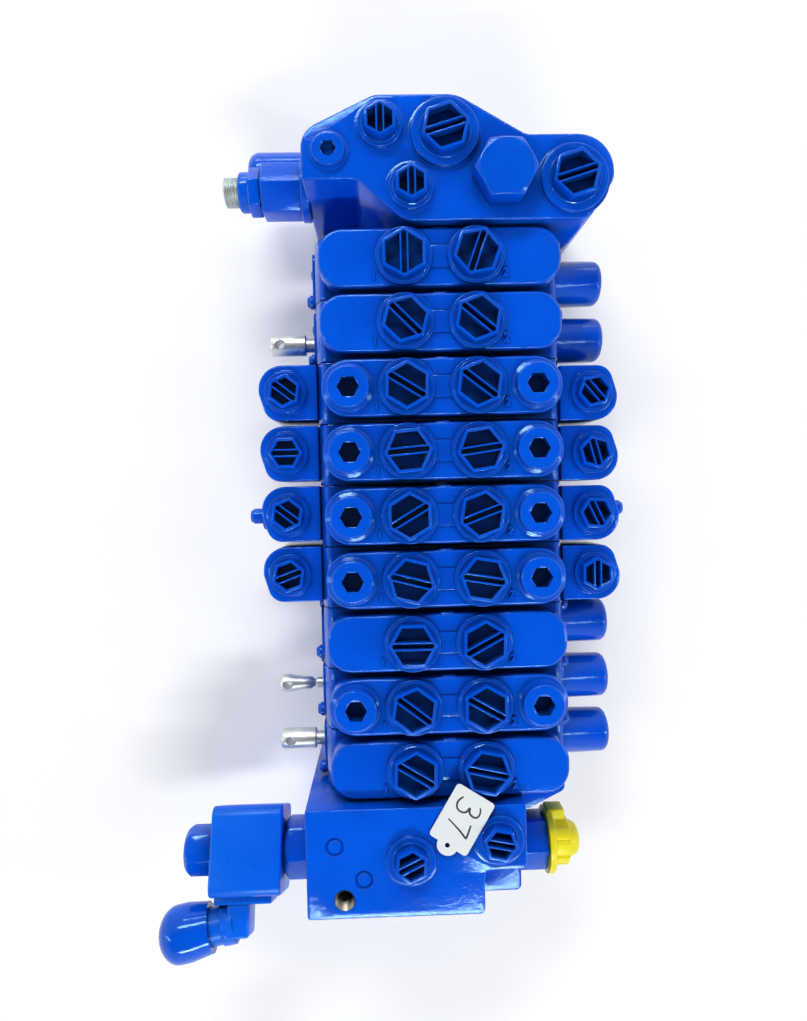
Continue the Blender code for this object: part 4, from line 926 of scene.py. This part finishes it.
end_casting = mesh_of(end_shape(), "end_casting")
dress("end_casting", end_casting, END, cast_paint, replaced="end_section")
end_plug = mesh_of(slot_plug(0.0305, 0.0190, 56), "end_plug")
for k, (x, y, turn) in enumerate(END_PLUGS):
    place = END @ at(x, y, END_TOP) @ spin(turn)
    dress("end_plug_%d" % (k + 1), end_plug, place, plug_paint)

# The bare steel thread of the open hole, and its floor; their steel colour is darkened as painted shade
# inside the hole
place = END @ at(*OPEN_HOLE, END_TOP)
r, pitch = 0.0062, 0.00175
profile = [(r, pitch), (0.0052, pitch / 2), (r, 0.0)]
thread = turned(profile, 48, at(z=-0.0235), rise=pitch, turns=13)
dress("hole_thread", mesh_of(thread, "hole_thread", 60), place, shaded_thread_steel)
bottom = turned([(0.0, -0.0236), (0.0058, -0.0230), (r, -0.0236), (0.0, -0.0238)], 40)
dress("hole_floor", mesh_of(bottom, "hole_floor"), place, shaded_thread_steel)

# Right hand fitting and its yellow cap
r, nose_end = 0.013, 0.032
nose = [(0.0, nose_end), (r - 0.0008, nose_end), (r, nose_end - 0.0008), (r, 0.019), (0.0, 0.019)]
shape = joined([hexagon(0.0345, -SUNK, 0.020, edge=0.0011, segments=3), turned(nose, 48)])
fitting = END @ at(0.0485, FITTING_Y, FITTING_Z) @ AXIS_X
dress("fitting", mesh_of(shape, "fitting"), fitting, cast_paint)
GRIPS = 10


def dust_cap_shape():
    """A push-on cap with a flange, a ribbed body, a lug and a domed end, along X."""
    start, flange, body, dome = SEAT_GAP, 0.02225, 0.017, 0.01225
    mid = start + 0.0045
    end = mid + 0.0105
    tip = end + 0.009
    profile = [(0.0, tip), (dome * 0.35, tip - 0.0002), (dome * 0.62, tip - 0.0012)]
    profile += [(dome * 0.80, tip - 0.0024), (dome * 0.93, tip - 0.0044)]
    profile += [(dome, end + 0.0012), (dome + 0.0012, end)]
    profile += [(body - 0.0015, end), (body - 0.0004, end - 0.0004), (body, end - 0.0015)]
    profile += [(body, mid + 0.001), (body + 0.001, mid)]
    profile += [*fillet(flange, mid, 0.0012, 3), (flange, start), (0.0, start)]
    cap = turned(profile, 72, AXIS_X)
    lug_x, lug_y = (start + 0.0006, end - 0.002), (body - 0.004, flange + 0.0012)
    lug = block(lug_x, lug_y, (-0.007, 0.007), edge=0.0012, segments=3)
    grips = []
    for k in range(GRIPS):
        a = 2 * pi * (k + 0.5) / GRIPS
        place = AXIS_X @ at(body * cos(a), body * sin(a), 0)
        grips.append(column(16, 0.0022, mid + 0.001, end + 0.001, place))
    hollow = column(40, 0.0133, -0.001, 0.0123, AXIS_X)
    return combined(cap, [lug], [*grips, hollow])


place = END @ at(0.0685, FITTING_Y, FITTING_Z)
dress("yellow_cap", mesh_of(dust_cap_shape(), "yellow_cap"), place, yellow, replaced="dust_cap")

# Solenoid valve, along its axis to the left
SOLENOID = END @ SOLENOID_SEAT
HEX_FLATS, COIL_NUT_FLATS = 0.036, 0.029
HEX_END = SEAT_GAP + 0.0195
COIL_START = HEX_END + SEAT_GAP
COIL_END = COIL_START + 0.047
NUT_START = COIL_END + SEAT_GAP
NUT_END = NUT_START + 0.020
TUBE_R, TUBE_BORE_R = 0.009, 0.0093

profile = [(0.0, HEX_END), (0.0170, HEX_END), (0.0212, HEX_END - 0.0040)]
profile += [(0.0212, SEAT_GAP + 0.0040), (0.0170, SEAT_GAP), (0.0, SEAT_GAP)]
shapes = [
    chamfered(hexagon(HEX_FLATS, SEAT_GAP, HEX_END, AXIS_LEFT), profile, AXIS_LEFT),
    column(48, TUBE_R, 0.001, NUT_START + 0.0157, AXIS_LEFT),
    column(48, 0.011, -0.018, 0.001, AXIS_LEFT),
]
cartridge = mesh_of(joined(shapes), "cartridge")
dress("cartridge", cartridge, SOLENOID, cast_paint, replaced="solenoid_valve")

# Coil with its connector base, elbow, neck and collar, all tilted about the axis
TILT = spin(-22.5, "X")
COIL_FACE = -0.028
outline = box_outline((-0.025, 0.025), (COIL_FACE, 0.028), 0.007)
coil = plate(outline, COIL_START, COIL_END, TILT @ AXIS_LEFT, edge=0.0014)
mid = -(COIL_START + COIL_END) / 2
base_x, base_y = (mid - 0.0214, mid + 0.0166), (COIL_FACE - 0.005, COIL_FACE + 0.001)
base = block(base_x, base_y, (-0.014, 0.014), TILT, edge=0.0009)
middle, half = mid - 0.0055, 0.0075
elbow_x, elbow_y = (middle - half, middle + half), (COIL_FACE - 0.025, COIL_FACE - 0.004)
elbow = block(elbow_x, elbow_y, (-0.01225, 0.01225), TILT, edge=0.0018, segments=3)
OUTLET = TILT @ at(middle - half, COIL_FACE - 0.017, 0) @ spin(10) @ AXIS_LEFT
r, neck_end = 0.012, 0.0205
profile = [(0.0, neck_end), (r - 0.0008, neck_end), (r, neck_end - 0.0008), (r, -0.005), (0.0, -0.005)]
neck = turned(profile, 56, OUTLET)
r, collar_end = 0.0133, 0.0040
profile = [(0.0, collar_end), *fillet(r, collar_end, 0.0008, 2), (r, -0.004), (0.0, -0.004)]
collar = turned(profile, 56, OUTLET)
bore = column(48, TUBE_BORE_R, COIL_START - SUNK, COIL_END + SUNK, AXIS_LEFT)
coil = combined(coil, [base, elbow, neck, collar], [bore])
dress("coil", mesh_of(coil, "coil"), SOLENOID, coil_paint, replaced="solenoid_coil")

foot = NUT_START - SUNK
profile = [(0.0, NUT_END), (0.0128, NUT_END), (0.0172, NUT_START + 0.0160), (0.0172, foot), (0.0, foot)]
nut = chamfered(hexagon(COIL_NUT_FLATS, NUT_START, NUT_END, AXIS_LEFT), profile, AXIS_LEFT)
nut = combined(nut, cut=[column(48, TUBE_BORE_R, NUT_START - SUNK, NUT_START + 0.016, AXIS_LEFT)])
dress("nut", mesh_of(nut, "nut"), SOLENOID, plug_paint, replaced="coil_nut")

# Round connector cap with a domed end
rim_r, cap_r, low_z, high_z = 0.01575, 0.0180, 0.0115, 0.0460
dome_height = 0.75 * cap_r
quarter = [a * pi / 24 for a in range(13)]
dome = [(cap_r * sin(a), high_z - dome_height + dome_height * cos(a)) for a in quarter]
wall = [(cap_r, low_z + 0.014), (cap_r - 0.0006, low_z + 0.010), (rim_r, low_z), (0.0, low_z)]
cap = turned([*dome, *wall], 72, OUTLET)
cap = combined(cap, cut=[column(48, 0.0123, low_z - SUNK, 0.0208, OUTLET)])
dress("cable_cap", mesh_of(cap, "cable_cap"), SOLENOID, plug_paint, replaced="connector_cap")

# The tie rods keep their solids and get plated steel
for k in (1, 2, 3):
    node = nodes["tie_rod_%d" % k]
    for material_slot in node.material_slots:
        material_slot.material = zinc

# A card tag that lies on the end section and leans on the flange of its second plug
TAG_WIDTH, TAG_HEIGHT, TAG_THICKNESS = 0.0264, 0.0368, 0.00045
TAG_CORNER, TAG_LOBE, LOBE_FOOT_X, LOBE_FOOT_R = 0.0022, 0.0062, 0.0070, 0.0008
TAG = END @ at(-0.0043, -0.0231, 0.1363) @ spin(-31.1) @ spin(-7.2, "Y")
half = TAG_WIDTH / 2
outline = [(-half, 0.0, TAG_CORNER), (-LOBE_FOOT_X, 0.0, LOBE_FOOT_R)]
outline += [(TAG_LOBE * 1.06 * -cos(a * pi / 10), -TAG_LOBE * sin(a * pi / 10), 0.0) for a in range(11)]
outline += [(LOBE_FOOT_X, 0.0, LOBE_FOOT_R), (half, 0.0, TAG_CORNER)]
outline += [(half, TAG_HEIGHT, TAG_CORNER), (-half, TAG_HEIGHT, TAG_CORNER)]
tag = plate(rounded(outline, 5), 0.0, TAG_THICKNESS)
tag = combined(tag, cut=[column(24, 0.0015, -SUNK, 0.002, at(0, 0.0002))])
dress("card_tag", mesh_of(softened(tag, 0.0001, 1, 60), "card_tag"), TAG, card)


def ink_material():
    material, tree, shader = shader_of("ink")
    drift = noise_of(tree, 700.0, 3.0)
    base = ramp_of(tree, drift.outputs["Fac"], [(0.35, (0.010, 0.012, 0.014)), (0.70, (0.045, 0.05, 0.055))])
    tree.links.new(base.outputs["Color"], shader.inputs["Base Color"])
    rough = ramp_of(tree, drift.outputs["Fac"], [(0.3, (0.45,)), (0.7, (0.65,))])
    tree.links.new(rough.outputs["Color"], shader.inputs["Roughness"])
    return material


def pen_stroke(points, width):
    curve = bpy.data.curves.new("stroke", "CURVE")
    curve.dimensions = "3D"
    curve.bevel_depth = width / 2
    curve.bevel_resolution = 2
    curve.use_fill_caps = True
    spline = curve.splines.new("NURBS")
    spline.points.add(len(points) - 1)
    for point, (x, y, weight) in zip(spline.points, points):
        point.co = (x, y, 0.0, 1.0)
        point.radius = weight
    spline.order_u = 3
    spline.use_endpoint_u = True
    spline.resolution_u = 8
    return fixed(helper("stroke", curve))


# The tag's digits: pen points (x, y, weight) about their lower left corner, in digit heights
THREE = ((0.04, 0.90, 0.8), (0.22, 1.04, 1.0), (0.52, 0.98, 1.1), (0.50, 0.62, 1.2), (0.20, 0.54, 1.3))
THREE += ((0.56, 0.50, 1.1), (0.60, 0.10, 1.0), (0.24, -0.06, 1.2), (0.0, 0.10, 0.9))
SEVEN = ((0.02, 0.92, 1.0), (0.30, 0.98, 1.1), (0.58, 1.02, 1.2))
SEVEN += ((0.58, 0.98, 1.2), (0.40, 0.55, 1.0), (0.26, 0.0, 0.8))
ink = ink_material()
DIGIT, PEN_WIDTH, INK_FLATNESS = 0.0150, 0.0011, 0.12
for k, (digit, start) in enumerate(((THREE, 0.0310), (SEVEN, 0.0185))):
    stroke = pen_stroke([(x * DIGIT, y * DIGIT, weight) for x, y, weight in digit], PEN_WIDTH)
    flat = Matrix.Diagonal((1, 1, INK_FLATNESS, 1))
    place = TAG @ at(-DIGIT / 2, start, TAG_THICKNESS) @ spin(-90) @ flat
    dress("tag_digit_%d" % (k + 1), mesh_of(stroke, "digit"), place, ink)

# Floor, light and camera
FLOOR_SIZE = 6.0
# Distance from the middle, in metres, and glow of the floor there
GLOW_NEAR, GLOW_FAR = (0.55, 0.28), (2.2, 0.92)
FILL_LIGHT = 0.12
LAMP_TARGET = (0, 0, 0.08)
# Lamps: place, power in watts, width and height of the panel
LAMPS = {
    "key": ((-0.35, 1.35, 1.30), 14.0, 0.9, 0.20),
    "strip": ((0.05, 1.25, 0.42), 4.0, 1.3, 0.03),
    "front": ((0.15, -1.30, 1.30), 15.0, 0.9, 0.16),
    "left": ((-1.3, -0.1, 1.1), 3.5, 0.08, 1.1),
    "right": ((1.3, -0.3, 1.1), 5.0, 0.08, 1.0),
}
# The camera fitted to the photograph: place in metres, turns in degrees, lens and sensor in millimetres
CAMERA_PLACE = (-0.006737, 0.031912, 0.575)
CAMERA_TURNS = (-1.4658, -1.4653, -1.34)
LENS, SENSOR_HEIGHT = 25.493, 36.0


def seen_rays(tree):
    """1 for the rays that show the background itself: camera, glossy and transmission."""
    path = tree.nodes.new("ShaderNodeLightPath")
    shown = path.outputs["Is Camera Ray"]
    for kind in ("Is Glossy Ray", "Is Transmission Ray"):
        both = tree.nodes.new("ShaderNodeMath")
        both.operation = "MAXIMUM"
        tree.links.new(shown, both.inputs[0])
        tree.links.new(path.outputs[kind], both.inputs[1])
        shown = both.outputs[0]
    return shown


bpy.ops.mesh.primitive_plane_add(size=FLOOR_SIZE, location=(0, 0, 0))
floor = bpy.context.object
floor.name = "floor"
material, tree, shader = shader_of("floor")
shader.inputs["Base Color"].default_value = (0.84, 0.845, 0.85, 1.0)
shader.inputs["Roughness"].default_value = 0.8
shader.inputs["Specular IOR Level"].default_value = 0.1
# The floor glows more the farther it lies from the lamps' reach, so it stays white up to the horizon
place = tree.nodes.new("ShaderNodeTexCoord")
reach = tree.nodes.new("ShaderNodeVectorMath")
reach.operation = "LENGTH"
tree.links.new(place.outputs["Object"], reach.inputs[0])
rise = tree.nodes.new("ShaderNodeMapRange")
rise.inputs["From Min"].default_value, rise.inputs["To Min"].default_value = GLOW_NEAR
rise.inputs["From Max"].default_value, rise.inputs["To Max"].default_value = GLOW_FAR
tree.links.new(reach.outputs["Value"], rise.inputs["Value"])
glow = tree.nodes.new("ShaderNodeMath")
glow.operation = "MULTIPLY"
tree.links.new(rise.outputs["Result"], glow.inputs[1])
tree.links.new(seen_rays(tree), glow.inputs[0])
shader.inputs["Emission Color"].default_value = (1, 1, 1, 1)
tree.links.new(glow.outputs[0], shader.inputs["Emission Strength"])
floor.data.materials.append(material)
floor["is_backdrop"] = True

world = bpy.data.worlds.new("studio")
scene.world = world
world.use_nodes = True
tree = world.node_tree
back = tree.nodes["Background"]
back.inputs["Color"].default_value = (0.92, 0.96, 1.0, 1.0)
back.inputs["Strength"].default_value = FILL_LIGHT
# White all round the horizon, with a dim ceiling straight above
white = tree.nodes.new("ShaderNodeBackground")
white.inputs["Strength"].default_value = 1.0
direction = tree.nodes.new("ShaderNodeTexCoord")
parts = tree.nodes.new("ShaderNodeSeparateXYZ")
tree.links.new(direction.outputs["Generated"], parts.inputs[0])
ceiling = ramp_of(tree, parts.outputs["Z"], [(0.50, (1.0,)), (0.85, (0.12,))])
tree.links.new(ceiling.outputs["Color"], white.inputs["Color"])
mix = tree.nodes.new("ShaderNodeMixShader")
tree.links.new(seen_rays(tree), mix.inputs[0])
tree.links.new(back.outputs[0], mix.inputs[1])
tree.links.new(white.outputs[0], mix.inputs[2])
tree.links.new(mix.outputs[0], tree.nodes["World Output"].inputs["Surface"])


def lamp(name, place, power, width, height):
    """A rectangular area lamp that looks at the valve."""
    data = bpy.data.lights.new(name, "AREA")
    data.energy = power
    data.shape = "RECTANGLE"
    data.size = width
    data.size_y = height
    obj = bpy.data.objects.new(name, data)
    scene.collection.objects.link(obj)
    obj.location = place
    obj.rotation_euler = (Vector(LAMP_TARGET) - Vector(place)).to_track_quat("-Z", "Y").to_euler()


for name, values in LAMPS.items():
    lamp(name, *values)

data = bpy.data.cameras.new("camera")
camera = bpy.data.objects.new("camera", data)
scene.collection.objects.link(camera)
camera.location = CAMERA_PLACE
camera.rotation_euler = [radians(turn) for turn in CAMERA_TURNS]
data.sensor_fit = "VERTICAL"
data.sensor_height = SENSOR_HEIGHT
data.lens = LENS
data.clip_start = 0.01
scene.camera = camera
scene.view_settings.view_transform = "Standard"

bpy.data.collections.remove(work)
low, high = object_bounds()
